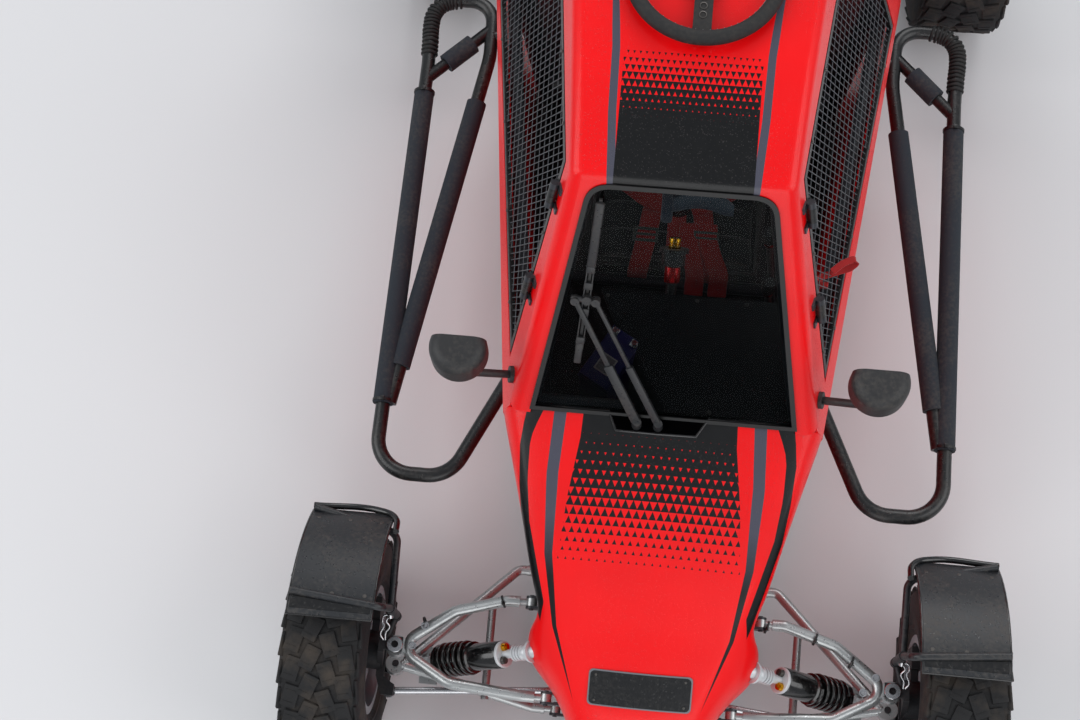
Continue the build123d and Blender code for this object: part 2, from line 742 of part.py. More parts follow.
stay_tube = 16
with BuildPart() as mudguard_right:
    add(guard_sheet_form(front_axle_y, 546, 722, guard_from, guard_to))
    add(round_bar((527, -868, 364.2), (527, -868, 456), 10))
    add(tube([(527, -868, 450), (530, -884, 560), (720, -866, 563)], stay_tube, 20))
    add(tube([(527, -868, 440), (534, -706, 427), (716, -664, 427)], stay_tube, 28))
finish(mudguard_right, "mudguard_front_right")
with BuildPart() as mudguard_left:
    add(mirrored(mudguard_right.part))
finish(mudguard_left, "mudguard_front_left")

# Front wishbones
arm_tube = 24


def ball_ring(centre):
    """The ring at a wishbone's tip, square to the kingpin."""
    reach = kingpin.normalized() * ring_half
    return round_bar(tuple(Vector(*centre) - reach), tuple(Vector(*centre) + reach), ring_radius, pin_radius + 0.3)


neck = 32


def leg_end(x, y, z):
    """A wishbone leg's threaded neck and bored eye at its pivot, pointing outboard."""
    with BuildPart() as end:
        add(round_bar((x, y, z), (x + neck, y, z), 7.5))
        add(round_bar((x + neck - 8, y, z), (x + neck, y, z), arm_tube / 2))
        add(eye(x, y, z))
        add(round_bar((x, y - 30, z), (x, y + 30, z), bolt_radius + running_gap), mode=Mode.SUBTRACT)
    return end.part


def outboard(pivot, distance=neck):
    """The point where a leg's tube starts, beside its pivot."""
    return (pivot[0] + distance, pivot[1], pivot[2])


upper_front, upper_rear, lower_front, lower_rear = [pivot[:3] for pivot in front_pivots]
with BuildPart() as front_upper:
    add(tube([outboard(upper_front, neck - 1), outboard(upper_front, 50), (400, -998, 344), (520, -930, 333),
              (402, -845, 346), outboard(upper_rear, 50), outboard(upper_rear, neck - 1)],
             arm_tube, [20, 40, 30, 40, 20]))
    add(ball_ring(ball_top))
    for pivot in (upper_front, upper_rear):
        add(leg_end(*pivot))
    add(round_bar(tuple(Vector(*ball_top) - kingpin), tuple(Vector(*ball_top) + kingpin), pin_radius + 0.3),
        mode=Mode.SUBTRACT)

lower_tube = 22
with BuildPart() as front_lower:
    ring_side = (ball_low[0] - 14, ball_low[1], ball_low[2])
    for pivot in (lower_front, lower_rear):
        add(tube([outboard(pivot, neck - 1), outboard(pivot, 52), ring_side], lower_tube, 24))
        add(leg_end(*pivot))
    add(tube([(336, -1005, 164), (340, -800, 156)], lower_tube - 4))
    add(block((442, -986, 178), (482, -906, 190)))
    for side in (-1, 1):
        ear_y = damper_foot[1] + side * 12
        add(block((450, ear_y - 2.5, 184), (474, ear_y + 2.5, damper_foot[2])))
        add(round_bar((462, ear_y - 2.5, damper_foot[2]), (462, ear_y + 2.5, damper_foot[2]), 12))
    add(round_bar((462, damper_foot[1] - 18, damper_foot[2]), (462, damper_foot[1] + 18, damper_foot[2]), 5))
    add(ball_ring(ball_low))
    add(round_bar(tuple(Vector(*ball_low) - kingpin), tuple(Vector(*ball_low) + kingpin), pin_radius + 0.3),
        mode=Mode.SUBTRACT)
with BuildPart() as front_wishbones:
    add(front_upper.part)
    add(front_lower.part)
    mirror(about=Plane.YZ)
finish(front_wishbones, "front_wishbones")


# Dampers. Columns for each: upper eye, lower eye
damper_body, damper_shaft, spring_radius, spring_bore = 20, 8, 31, 22.5


def damper_form(head, foot):
    """A damper with its two eyes, collars and shaft."""
    head, foot = Vector(*head), Vector(*foot)
    along = (foot - head).normalized()
    length = (foot - head).length
    body_end = length * 0.62
    with BuildPart() as rod:
        with BuildSketch(Plane.XZ):
            Polygon((0, 9), (damper_shaft, 9), (damper_shaft, 25), (damper_body, 25), (damper_body, 70),
                    (spring_radius, 70), (spring_radius, 80), (damper_body, 80), (damper_body, body_end),
                    (damper_shaft, body_end), (damper_shaft, length - 46), (spring_radius, length - 46),
                    (spring_radius, length - 36), (14, length - 36), (14, length - 19),
                    (damper_shaft, length - 19), (damper_shaft, length - 9), (0, length - 9), align=None)
        revolve(axis=Axis.Z)
    with BuildPart() as damper:
        add(Plane(origin=head, z_dir=along).location * Rot(0, 0, 35) * rod.part)
        for end in (head, foot):
            add(round_bar((end.X, end.Y - 8, end.Z), (end.X, end.Y + 8, end.Z), 13.5))
        for end in (head, foot):
            add(round_bar((end.X, end.Y - 20, end.Z), (end.X, end.Y + 20, end.Z), 5 + running_gap),
                mode=Mode.SUBTRACT)
        mirror(about=Plane.YZ)
    return damper.part


def spring_form(head, foot, turns):
    """A coil spring drawn as a closed sleeve with a groove between its turns."""
    head, foot = Vector(*head), Vector(*foot)
    along = (foot - head).normalized()
    start = head + along * 80.3
    length = (foot - head).length - 80.3 - 46.3
    pitch = length / turns
    with BuildPart() as spring:
        with BuildSketch(Plane.XZ):
            with BuildLine():
                points = [(spring_bore, 0), (spring_radius - 1, 0)]
                for turn in range(turns):
                    points += [(spring_radius, pitch * (turn + 0.35)), (spring_bore + 3, pitch * (turn + 0.75))]
                points += [(spring_radius - 1, length), (spring_bore, length)]
                Polyline(*points, close=True)
            make_face()
        revolve(axis=Axis.Z)
    placed = Plane(origin=start, z_dir=along).location * spring.part
    with BuildPart() as both:
        add(placed)
        mirror(about=Plane.YZ)
    return both.part


with BuildPart() as dampers:
    add(damper_form(damper_head[:3], damper_foot))
    add(damper_form(rear_damper_head[:3], rear_damper_foot))
with BuildPart() as springs:
    add(spring_form(damper_head[:3], damper_foot, 7))
    add(spring_form(rear_damper_head[:3], rear_damper_foot, 9))
finish(dampers, "dampers")
finish(springs, "springs")

# Rear suspension: uprights, wishbones
upright_x = 520
upright_half = 20
upright_eye = 14
rear_upper_z, rear_lower_z = 350, 140
bearing_radius = 46
with BuildPart() as rear_uprights:
    with BuildSketch(Plane.YZ.offset(upright_x - 12)):
        Polygon((rear_axle_y - 20, rear_lower_z), (rear_axle_y + 20, rear_lower_z),
                (rear_axle_y + 20, rear_lower_z + 20), (rear_axle_y + 40, hub_height),
                (rear_axle_y + 20, rear_upper_z - 20), (rear_axle_y + 20, rear_upper_z),
                (rear_axle_y - 20, rear_upper_z), (rear_axle_y - 20, rear_upper_z - 20),
                (rear_axle_y - 40, hub_height), (rear_axle_y - 20, rear_lower_z + 20), align=None)
    extrude(amount=24)
    add(round_bar((upright_x - 20, rear_axle_y, hub_height), (upright_x + 40, rear_axle_y, hub_height), bearing_radius))
    for z in (rear_lower_z, rear_upper_z):
        add(round_bar((upright_x, rear_axle_y - upright_half, z), (upright_x, rear_axle_y + upright_half, z),
                      upright_eye))
    for z in (rear_lower_z, rear_upper_z):
        add(round_bar((upright_x, rear_axle_y - 40, z), (upright_x, rear_axle_y + 40, z), bolt_radius + running_gap),
            mode=Mode.SUBTRACT)
    add(round_bar((0, rear_axle_y, hub_height), (800, rear_axle_y, hub_height), stub_radius + running_gap),
        mode=Mode.SUBTRACT)
    add(round_bar((upright_x, rear_axle_y, rear_upper_z + 10), (upright_x, rear_axle_y, rear_upper_z + 34), 8))
    add(round_bar((upright_x, rear_axle_y, rear_upper_z + 24), (upright_x, rear_axle_y, rear_upper_z + 34), 11))
    mirror(about=Plane.YZ)
finish(rear_uprights, "rear_uprights")

with BuildPart() as rear_wishbones:
    for front, rear, outer_z in ((rear_pivots[0], rear_pivots[1], rear_upper_z),
                                 (rear_pivots[2], rear_pivots[3], rear_lower_z)):
        for pivot, side in ((front[:3], -1), (rear[:3], 1)):
            tip = (upright_x, rear_axle_y + side * (upright_half + 8), outer_z)
            ear = rear_axle_y + side * (upright_half + 0.3)
            add(tube([outboard(pivot, neck - 1), outboard(pivot, 56), (tip[0], tip[1] + side * 4, tip[2])],
                     lower_tube, 24))
            add(leg_end(*pivot))
            add(block((upright_x - 14, min(ear, ear + side * 12), outer_z - 12),
                      (upright_x + 10, max(ear, ear + side * 12), outer_z + 12)))
        add(round_bar((upright_x, rear_axle_y - 36, outer_z), (upright_x, rear_axle_y + 36, outer_z), bolt_radius))
    add(tube([(455, 905, 136), (455, 1000, 136)], lower_tube - 4))
    for side in (-1, 1):
        ear_y = rear_damper_foot[1] + side * 12
        add(block((445, ear_y - 2.5, 134), (467, ear_y + 2.5, rear_damper_foot[2])))
        add(round_bar((455, ear_y - 2.5, rear_damper_foot[2]), (455, ear_y + 2.5, rear_damper_foot[2]), 12))
    add(round_bar((455, rear_damper_foot[1] - 18, rear_damper_foot[2]),
                  (455, rear_damper_foot[1] + 18, rear_damper_foot[2]), 5))
    mirror(about=Plane.YZ)
finish(rear_wishbones, "rear_wishbones")

# Solid rear axle with its joints' boots, sprocket and brake disc
sprocket_x = -120
sprocket_radius = 95
with BuildPart() as rear_axle:
    with BuildSketch(Plane.XY):
        with BuildLine():
            Polyline((0, 0), (0, stub_radius), (140, stub_radius), (146, 34), (182, 34), (222, stub_radius),
                     (430, stub_radius), (450, 32), (482, 32), (486, stub_radius),
                     (rear_wheel_x + 36, stub_radius), (rear_wheel_x + 36, 0), close=True)
        make_face()
    revolve(axis=Axis.X)
    mirror(about=Plane.YZ)
tooth_count = 38
with BuildPart() as sprocket:
    with BuildSketch(Plane.YZ.offset(sprocket_x - 3)):
        Circle(sprocket_radius - 4)
        with PolarLocations(sprocket_radius - 4, tooth_count):
            Rectangle(9, 6)
        with PolarLocations(58, 6):
            Circle(16, mode=Mode.SUBTRACT)
    extrude(amount=6)
with BuildPart() as axle_full:
    add(Pos(0, rear_axle_y, hub_height) * rear_axle.part)
    add(Pos(0, rear_axle_y, hub_height) * sprocket.part)
    add(round_bar((117, rear_axle_y, hub_height), (123, rear_axle_y, hub_height), 92))
    for start, end in ((108, 117), (sprocket_x + 3, sprocket_x + 12)):
        add(round_bar((start, rear_axle_y, hub_height), (end, rear_axle_y, hub_height), 34))
finish(axle_full, "rear_axle")

with BuildPart() as rear_frame_full:
    add(rear_frame.part)
    for x in (-88, 80):
        with BuildSketch(Plane.YZ.offset(x)):
            Polygon((rear_axle_y - 36, 226), (rear_axle_y - 36, 276), (1030, 362), (1050, 372), (1060, 356),
                    (1040, 250), (1060, deck_cut_z + 0.5), (1030, deck_cut_z + 0.5), align=None)
            with Locations((rear_axle_y, hub_height)):
                Circle(40)
                Circle(stub_radius + running_gap, mode=Mode.SUBTRACT)
        extrude(amount=8)
    add(round_bar((80, rear_axle_y, hub_height), (104, rear_axle_y, hub_height), 24))
    add(round_bar((-104, rear_axle_y, hub_height), (-80, rear_axle_y, hub_height), 24))
    add(round_bar((-200, rear_axle_y, hub_height), (200, rear_axle_y, hub_height), stub_radius + running_gap),
        mode=Mode.SUBTRACT)
finish(rear_frame_full, "rear_frame")

# Engine block with its output sprocket and the chain
engine_low, engine_high = (-92, 602, deck_cut_z + 0.3), (184, 830, 520)
pinion_y, pinion_z, pinion_radius = 776, 292, 34
chain_half = 6
chain_clear = 8
with BuildPart() as engine_block:
    add(block(engine_low, engine_high))
    chamfer(engine_block.edges().filter_by(Axis.Y), length=24)
    chamfer(engine_block.edges().group_by(Axis.Z)[-1], length=14)
    add(round_bar((engine_low[0], pinion_y, pinion_z), (sprocket_x - 8, pinion_y, pinion_z), 12))
    add(round_bar((sprocket_x - 3, pinion_y, pinion_z), (sprocket_x + 3, pinion_y, pinion_z),
                  pinion_radius + chain_clear - chain_half - 0.3))
finish(engine_block, "engine_block")
with BuildPart() as drive_chain:
    with BuildSketch(Plane.YZ.offset(sprocket_x - 8)):
        rear_centre, front_centre = (rear_axle_y, hub_height), (pinion_y, pinion_z)
        for grow, mode in ((chain_half, Mode.ADD), (-chain_half, Mode.SUBTRACT)):
            with BuildSketch(mode=Mode.PRIVATE) as loop:
                with Locations(rear_centre):
                    Circle(sprocket_radius + chain_clear + grow)
                with Locations(front_centre):
                    Circle(pinion_radius + chain_clear + grow)
                make_hull()
            add(loop.sketch, mode=mode)
    extrude(amount=16)
finish(drive_chain, "drive_chain")

# Side bars along the car, their foam sleeves, and the plates that bolt them on
bar_tube = 32
bar_z = 330
foam_radius = 23
bar_route = [(352, -318, bar_z + 12), (452, -552, bar_z), (618, -552, bar_z), (616, 440, bar_z),
             (624, 614, bar_z), (478, 614, bar_z), (472, 470, bar_z), (604, -396, bar_z)]
bar_bends = [80, 80, 300, 62, 56, 200]
brace_ends = ((614, 404, bar_z), (479, 540, bar_z))
flange_radius, flange_thick = 27, 8
rear_stub_y = 525


def side_surface(y, z):
    """Half width of the side panel's outer face below its shoulder."""
    (y0, z0, mid0, foot0), (y1, z1, mid1, foot1) = side_sections
    share = (y - y0) / (y1 - y0)
    shoulder_z = z0 + (z1 - z0) * share
    shoulder_x = mid0 + (mid1 - mid0) * share
    foot_x = foot0 + (foot1 - foot0) * share
    rise = (z - floor_height - panel) / (shoulder_z - floor_height - panel)
    return foot_x + (shoulder_x - foot_x) * rise


def flange(y, z):
    """A bolted foot that lies on the side panel, and the middle of its outer face."""
    seat = Vector(side_surface(y, z), y, z)
    normal = Vector(1, side_surface(y, z) - side_surface(y + 1, z),
                    side_surface(y, z) - side_surface(y, z + 1)).normalized()
    face = seat + normal * flange_thick
    return round_bar(tuple(seat + normal * 0.3), tuple(face), flange_radius), tuple(face - normal * 2)


def along_run(start, end, from_share, to_share):
    """Two points at shares of a straight run."""
    start, end = Vector(*start), Vector(*end)
    return tuple(start + (end - start) * from_share), tuple(start + (end - start) * to_share)


with BuildPart() as body_core:
    for y, middle_z, middle_x, floor_x in side_sections:
        with BuildSketch(Plane(origin=(0, y, 0), x_dir=(1, 0, 0), z_dir=(0, -1, 0))):
            Polygon((0, floor_height), (floor_x, floor_height), (middle_x, middle_z), (0, middle_z), align=None)
            offset(amount=0.3, kind=Kind.INTERSECTION)
    loft(ruled=True)
with BuildPart() as side_bars:
    front_foot, front_face = flange(-296, bar_z + 14)
    rear_foot, rear_face = flange(rear_stub_y, bar_z)
    add(tube([front_face, *bar_route[1:]], bar_tube, bar_bends))
    add(tube(brace_ends, bar_tube - 4))
    add(tube([rear_face, (476, rear_stub_y, bar_z)], bar_tube - 4))
    add(front_foot)
    add(rear_foot)
    add(body_core.part, mode=Mode.SUBTRACT)
    mirror(about=Plane.YZ)
finish(side_bars, "side_bars")

foam_runs = [
    along_run((617.9, -552, bar_z), (616, 440, bar_z), 0.155, 0.93),
    along_run(bar_route[6], bar_route[7], 0.14, 0.90),
    along_run(*brace_ends, 0.3, 0.72),
]
with BuildPart() as side_bar_pads:
    for start, end in foam_runs:
        add(round_bar(start, end, foam_radius))
    add(side_bars.part, mode=Mode.SUBTRACT)
    mirror(about=Plane.YZ)
finish(side_bar_pads, "side_bar_pads")

# Door mirrors on their stalks
mirror_y = -416
mirror_low_z, mirror_high_z = 838, 926
mirror_base_y, mirror_base_z = -425, 728
with BuildPart() as mirrors:
    with BuildSketch(Plane.XY.offset(mirror_low_z)):
        with BuildLine():
            ThreePointArc((344, mirror_y), (392, mirror_y - 72), (450, mirror_y))
            Line((450, mirror_y), (344, mirror_y))
        make_face()
    extrude(amount=mirror_high_z - mirror_low_z)
    fillet(mirrors.edges().filter_by(GeomType.CIRCLE), radius=24)
    add(block((352, mirror_y - 10, mirror_low_z + 9), (442, mirror_y + 1, mirror_high_z - 9)), mode=Mode.SUBTRACT)
    seat = Vector(side_x(mirror_base_y, mirror_base_z), mirror_base_y, mirror_base_z)
    add(tube([(392, mirror_y - 30, mirror_low_z + 6), (386, mirror_y - 30, 790), tuple(seat + door_normal * 6)], 16, 24))
    add(round_bar(tuple(seat + door_normal * 0.3), tuple(seat + door_normal * 8), 17))
    mirror(about=Plane.YZ)
finish(mirrors, "door_mirrors")

# Wiper: two arms from the cowl to a bracket, and the blade along the screen
def off_screen(x, z, out):
    """A point a little way off the windscreen's outer face."""
    return tuple(Vector(x, screen_y(z), z) + screen_plane.z_dir * out)


with BuildPart() as wiper:
    for foot_x, head_x in ((-44, -176), (-6, -150)):
        add(round_bar((foot_x, -498, 734), off_screen(head_x, 924, 16), 4))
        add(round_bar((foot_x, -494, 700), (foot_x, -498, 740), 9))
    add(nose_outer, mode=Mode.SUBTRACT)
    add(round_bar(off_screen(-186, 920, 16), off_screen(-128, 930, 16), 6))
    add(round_bar(off_screen(-146, 1095, 9), off_screen(-176, 748, 9), 5))
    add(round_bar(off_screen(-162, 924, 8), off_screen(-162, 924, 20), 6))
finish(wiper, "wiper")

# Seat: a bucket on the tray, its pads, and the belts
seat_half = 198
seat_wall = 8
seat_floor = floor_height + panel + 0.3
with BuildPart() as seat_shell:
    with BuildSketch(Plane.YZ.offset(-seat_half)):
        Polygon((60, seat_floor), (330, seat_floor), (488 - 10, 790), (462, 930), (430, 930), (400, 700),
                (280, 430), (120, 330), (40, 240), align=None)
    extrude(amount=2 * seat_half)
    with BuildSketch(Plane.YZ.offset(-seat_half + seat_wall)):
        Polygon((0, 140), (60, 128), (296, 112), (320, 124), (466, 800), (450, 940), (300, 940), (0, 600), align=None)
    extrude(amount=2 * (seat_half - seat_wall), mode=Mode.SUBTRACT)
finish(seat_shell, "seat_shell")
with BuildPart() as seat_padding:
    pad_half = seat_half - seat_wall - 0.3
    with BuildSketch(Plane.YZ.offset(-pad_half)):
        Polygon((62, 129), (288, 114), (286, 142), (70, 158), align=None)
    extrude(amount=2 * pad_half)
    with BuildSketch(Plane.YZ.offset(-pad_half)):
        Polygon((318, 160), (462, 800), (436, 804), (292, 164), align=None)
    extrude(amount=2 * pad_half)
finish(seat_padding, "seat_padding")
with BuildPart() as harness:
    for x in (-95, 45):
        with BuildSketch(Plane.YZ.offset(x)):
            Polygon((432, 804), (288, 166), (268, 148), (70, 162.8), (18, 131), (20, 127.5), (71, 158.8),
                    (270, 144.2), (291, 164), (435, 804), align=None)
        extrude(amount=50)
finish(harness, "harness")

# Controls and boxes inside
tray_top = floor_height + panel + 0.3
with BuildPart() as pedals:
    add(round_bar((-150, -792, tray_top + 8), (170, -792, tray_top + 8), 8))
    for x in (-100, 60, 130):
        add(tube([(x, -792, tray_top + 8), (x, -812, 250)], 12))
        add(block((x - 26, -812, 205), (x + 26, -800, 290)))
    add(nose_frame.part, mode=Mode.SUBTRACT)
finish(pedals, "pedals")
with BuildPart() as battery_box:
    with BuildSketch(Plane.XY.offset(tray_top)):
        with Locations(Location((-116, -255, 0), 13)):
            Rectangle(84, 146)
    extrude(amount=205)
    fillet(battery_box.edges().filter_by(Axis.Z), radius=6)
finish(battery_box, "battery_box")
with BuildPart() as levers:
    add(block((222, -134, tray_top), (258, -2, tray_top + 40)))
    for foot, head in (((240, -26, 130), (196, -30, 560)), ((240, -104, 130), (200, -140, 552))):
        add(tube([foot, head], 14))
        add(round_bar(head, (head[0], head[1], head[2] + 46), 13))
finish(levers, "levers")
with BuildPart() as fuel_tank:
    add(block((-160, 388, tray_top), (160, 476, 330)))
    chamfer(fuel_tank.edges().filter_by(Axis.X), length=10)
    add(seat_shell.part, mode=Mode.SUBTRACT)
finish(fuel_tank, "fuel_tank")

# Rear end: air box, exhaust, radiator, bumper, lamps and guards
with BuildPart() as air_box:
    with BuildSketch(Plane.XY.offset(engine_high[2] + 0.3)):
        with Locations((46, 716)):
            Rectangle(200, 160)
    with BuildSketch(Plane.XY.offset(650)):
        with Locations((46, 690)):
            Rectangle(150, 120)
    loft()
finish(air_box, "air_box")
silencer_x, silencer_z, silencer_radius = 40, 446, 52
with BuildPart() as exhaust:
    add(round_bar((silencer_x, 905, silencer_z), (silencer_x, 1238, silencer_z), silencer_radius))
    add(round_bar((silencer_x, 1238, silencer_z), (silencer_x, 1262, silencer_z), 26, 20))
    add(round_bar((silencer_x, engine_high[1] + 0.3, silencer_z), (silencer_x, 906, silencer_z), 24))
    add(block((silencer_x - 14, 1050, 366), (silencer_x + 14, 1074, 400)))
    add(rear_frame.part, mode=Mode.SUBTRACT)
finish(exhaust, "exhaust")
radiator_y = 1062 + frame_tube / 2 + 0.3
with BuildPart() as radiator:
    add(block((-186, radiator_y, 126), (60, radiator_y + 44, 352)))
    for x in (-186, 30):
        add(block((x, radiator_y + 8, 126), (x + 30, radiator_y + 52, 352)))
    add(round_bar((-78, radiator_y + 40, 240), (-78, radiator_y + 62, 240), 96, 84))
finish(radiator, "radiator")
tow_bore, tow_ring, tow_plate = 25, 40, 8
with BuildPart() as bumpers:
    rear_bar_y = half_length - frame_tube / 2
    add(tube([(-215, 1062, 240), (-215, rear_bar_y, 240), (215, rear_bar_y, 240), (215, 1062, 240)], frame_tube, 60))
    add(tube([(-100, -1160, rail_z), (-100, -rear_bar_y, 175), (100, -rear_bar_y, 175), (100, -1160, rail_z)],
             frame_tube, 44))
    add(lower_frame.part, mode=Mode.SUBTRACT)
    add(rear_frame.part, mode=Mode.SUBTRACT)
    add(nose_panel.part, mode=Mode.SUBTRACT)
    for y, z in ((-rear_bar_y + 48, 175), (rear_bar_y - 48, 240)):
        add(round_bar((0, y, z - tow_plate / 2), (0, y, z + tow_plate / 2), tow_ring, tow_bore))
finish(bumpers, "bumpers")
with BuildPart() as tail_lamps:
    for x in (-168, 168):
        add(round_bar((x, 1044, 375 + 34), (x, 1080, 375 + 34), 34))
    add(rear_frame.part, mode=Mode.SUBTRACT)
finish(tail_lamps, "tail_lamps")
with BuildPart() as rear_mudguards:
    add(guard_sheet_form(rear_axle_y, 540, 742, 20, 100))
    top = rear_upper_z + 34.2
    add(tube([(upright_x, rear_axle_y, top), (upright_x, rear_axle_y, 562), (738, rear_axle_y, 564)], stay_tube, 24))
    add(tube([(upright_x, rear_axle_y, 470), (upright_x + 6, rear_axle_y + 292, 400), (738, rear_axle_y + 280, 400)],
             stay_tube, 30))
    mirror(about=Plane.YZ)
finish(rear_mudguards, "rear_mudguards")

# Steering wheel laid on the roof
wheel_rim_radius, wheel_grip = 150, 14
wheel_centre = (10, 210)
wheel_z = roof_z(roof_circle()[0]) + wheel_grip + 0.3
with BuildPart() as steering_wheel:
    with BuildSketch(Plane.XZ):
        with Locations((wheel_rim_radius - wheel_grip, 0)):
            Circle(wheel_grip)
    revolve(axis=Axis.Z)
    with BuildSketch(Plane.XY.offset(-3)):
        Circle(38)
        with PolarLocations(0, 3, start_angle=-90):
            with Locations((75, 0)):
                Rectangle(130, 34)
        with PolarLocations(26, 6):
            Circle(3, mode=Mode.SUBTRACT)
    extrude(amount=6)
with BuildPart() as wheel_placed:
    add(Pos(wheel_centre[0], wheel_centre[1], wheel_z) * steering_wheel.part)
finish(wheel_placed, "steering_wheel")
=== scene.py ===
import logging
import math
from dataclasses import dataclass, field
from enum import Enum
from typing import Callable, Iterable, Sequence

import bmesh
import bpy
from mathutils import Matrix, Vector


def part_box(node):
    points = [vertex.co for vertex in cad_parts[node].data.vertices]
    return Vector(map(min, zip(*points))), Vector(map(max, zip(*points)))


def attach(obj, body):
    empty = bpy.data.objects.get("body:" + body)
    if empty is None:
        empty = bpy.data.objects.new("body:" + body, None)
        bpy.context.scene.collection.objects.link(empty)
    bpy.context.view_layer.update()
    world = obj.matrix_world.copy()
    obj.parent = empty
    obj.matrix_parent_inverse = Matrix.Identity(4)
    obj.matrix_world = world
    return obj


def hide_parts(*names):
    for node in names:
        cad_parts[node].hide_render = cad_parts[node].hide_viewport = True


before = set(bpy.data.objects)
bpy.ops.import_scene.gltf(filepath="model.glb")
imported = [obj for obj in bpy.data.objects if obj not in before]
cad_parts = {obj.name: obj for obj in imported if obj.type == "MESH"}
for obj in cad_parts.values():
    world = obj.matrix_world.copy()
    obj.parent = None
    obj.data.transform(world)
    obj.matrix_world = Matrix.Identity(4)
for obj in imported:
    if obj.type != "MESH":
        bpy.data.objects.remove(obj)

LOG = logging.getLogger("racing_kart")
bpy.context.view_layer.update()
Point = Sequence[float]
Colour = tuple[float, float, float, float]
X_AXIS, Y_AXIS, Z_AXIS = (1, 0, 0), (0, 1, 0), (0, 0, 1)
FRONT_AXLE, REAR_AXLE, HUB_HEIGHT = -0.93, 0.95, 0.25


class Body(str, Enum):
    """The bodies that pieces ride on."""

    CHASSIS = "chassis"
    KNUCKLE_RIGHT = "knuckle_right"
    KNUCKLE_LEFT = "knuckle_left"
    WHEEL_RIGHT = "wheel_front_right"
    WHEEL_LEFT = "wheel_front_left"
    AXLE = "rear_axle"
    COLUMN = "column"
    DOOR_RIGHT = "door_right"
    DOOR_LEFT = "door_left"


class Graphic(Enum):
    """Which printed pattern a painted panel carries."""

    PLAIN = 0
    BONNET = 1
    ROOF = 2


def operation(kind: str, swapped: bool = False) -> Callable[["Sock", "Sock | float"], "Sock"]:
    """An operator of Sock that adds a Math node of this kind."""
    def apply(first: "Sock", second: "Sock | float") -> "Sock":
        """The node's result."""
        return first.math(kind, second, first) if swapped else first.math(kind, first, second)
    return apply


class Sock:
    """A node's output; arithmetic on it adds Math nodes."""

    def __init__(self, shader: "Shader", link: bpy.types.NodeSocket) -> None:
        """Keeps the tree and the output."""
        self.shader = shader
        self.link = link

    def math(self, operation: str, *values: "Sock | float") -> "Sock":
        """One Math node that takes these values."""
        return self.shader.node("ShaderNodeMath", {"operation": operation}, *values)

    __add__, __radd__ = operation("ADD"), operation("ADD", True)
    __sub__, __rsub__ = operation("SUBTRACT"), operation("SUBTRACT", True)
    __mul__, __rmul__ = operation("MULTIPLY"), operation("MULTIPLY", True)
    __truediv__ = operation("DIVIDE")
    __gt__, __lt__ = operation("GREATER_THAN"), operation("LESS_THAN")

    def __abs__(self) -> "Sock":
        """Size without its sign."""
        return self.math("ABSOLUTE", self)

    def floor(self) -> "Sock":
        """Next whole number below."""
        return self.math("FLOOR", self)

    def fract(self) -> "Sock":
        """What is left over the whole number below."""
        return self.math("FRACT", self)

    def clamp(self) -> "Sock":
        """Kept between 0 and 1."""
        return self.shader.node("ShaderNodeClamp", {}, self)


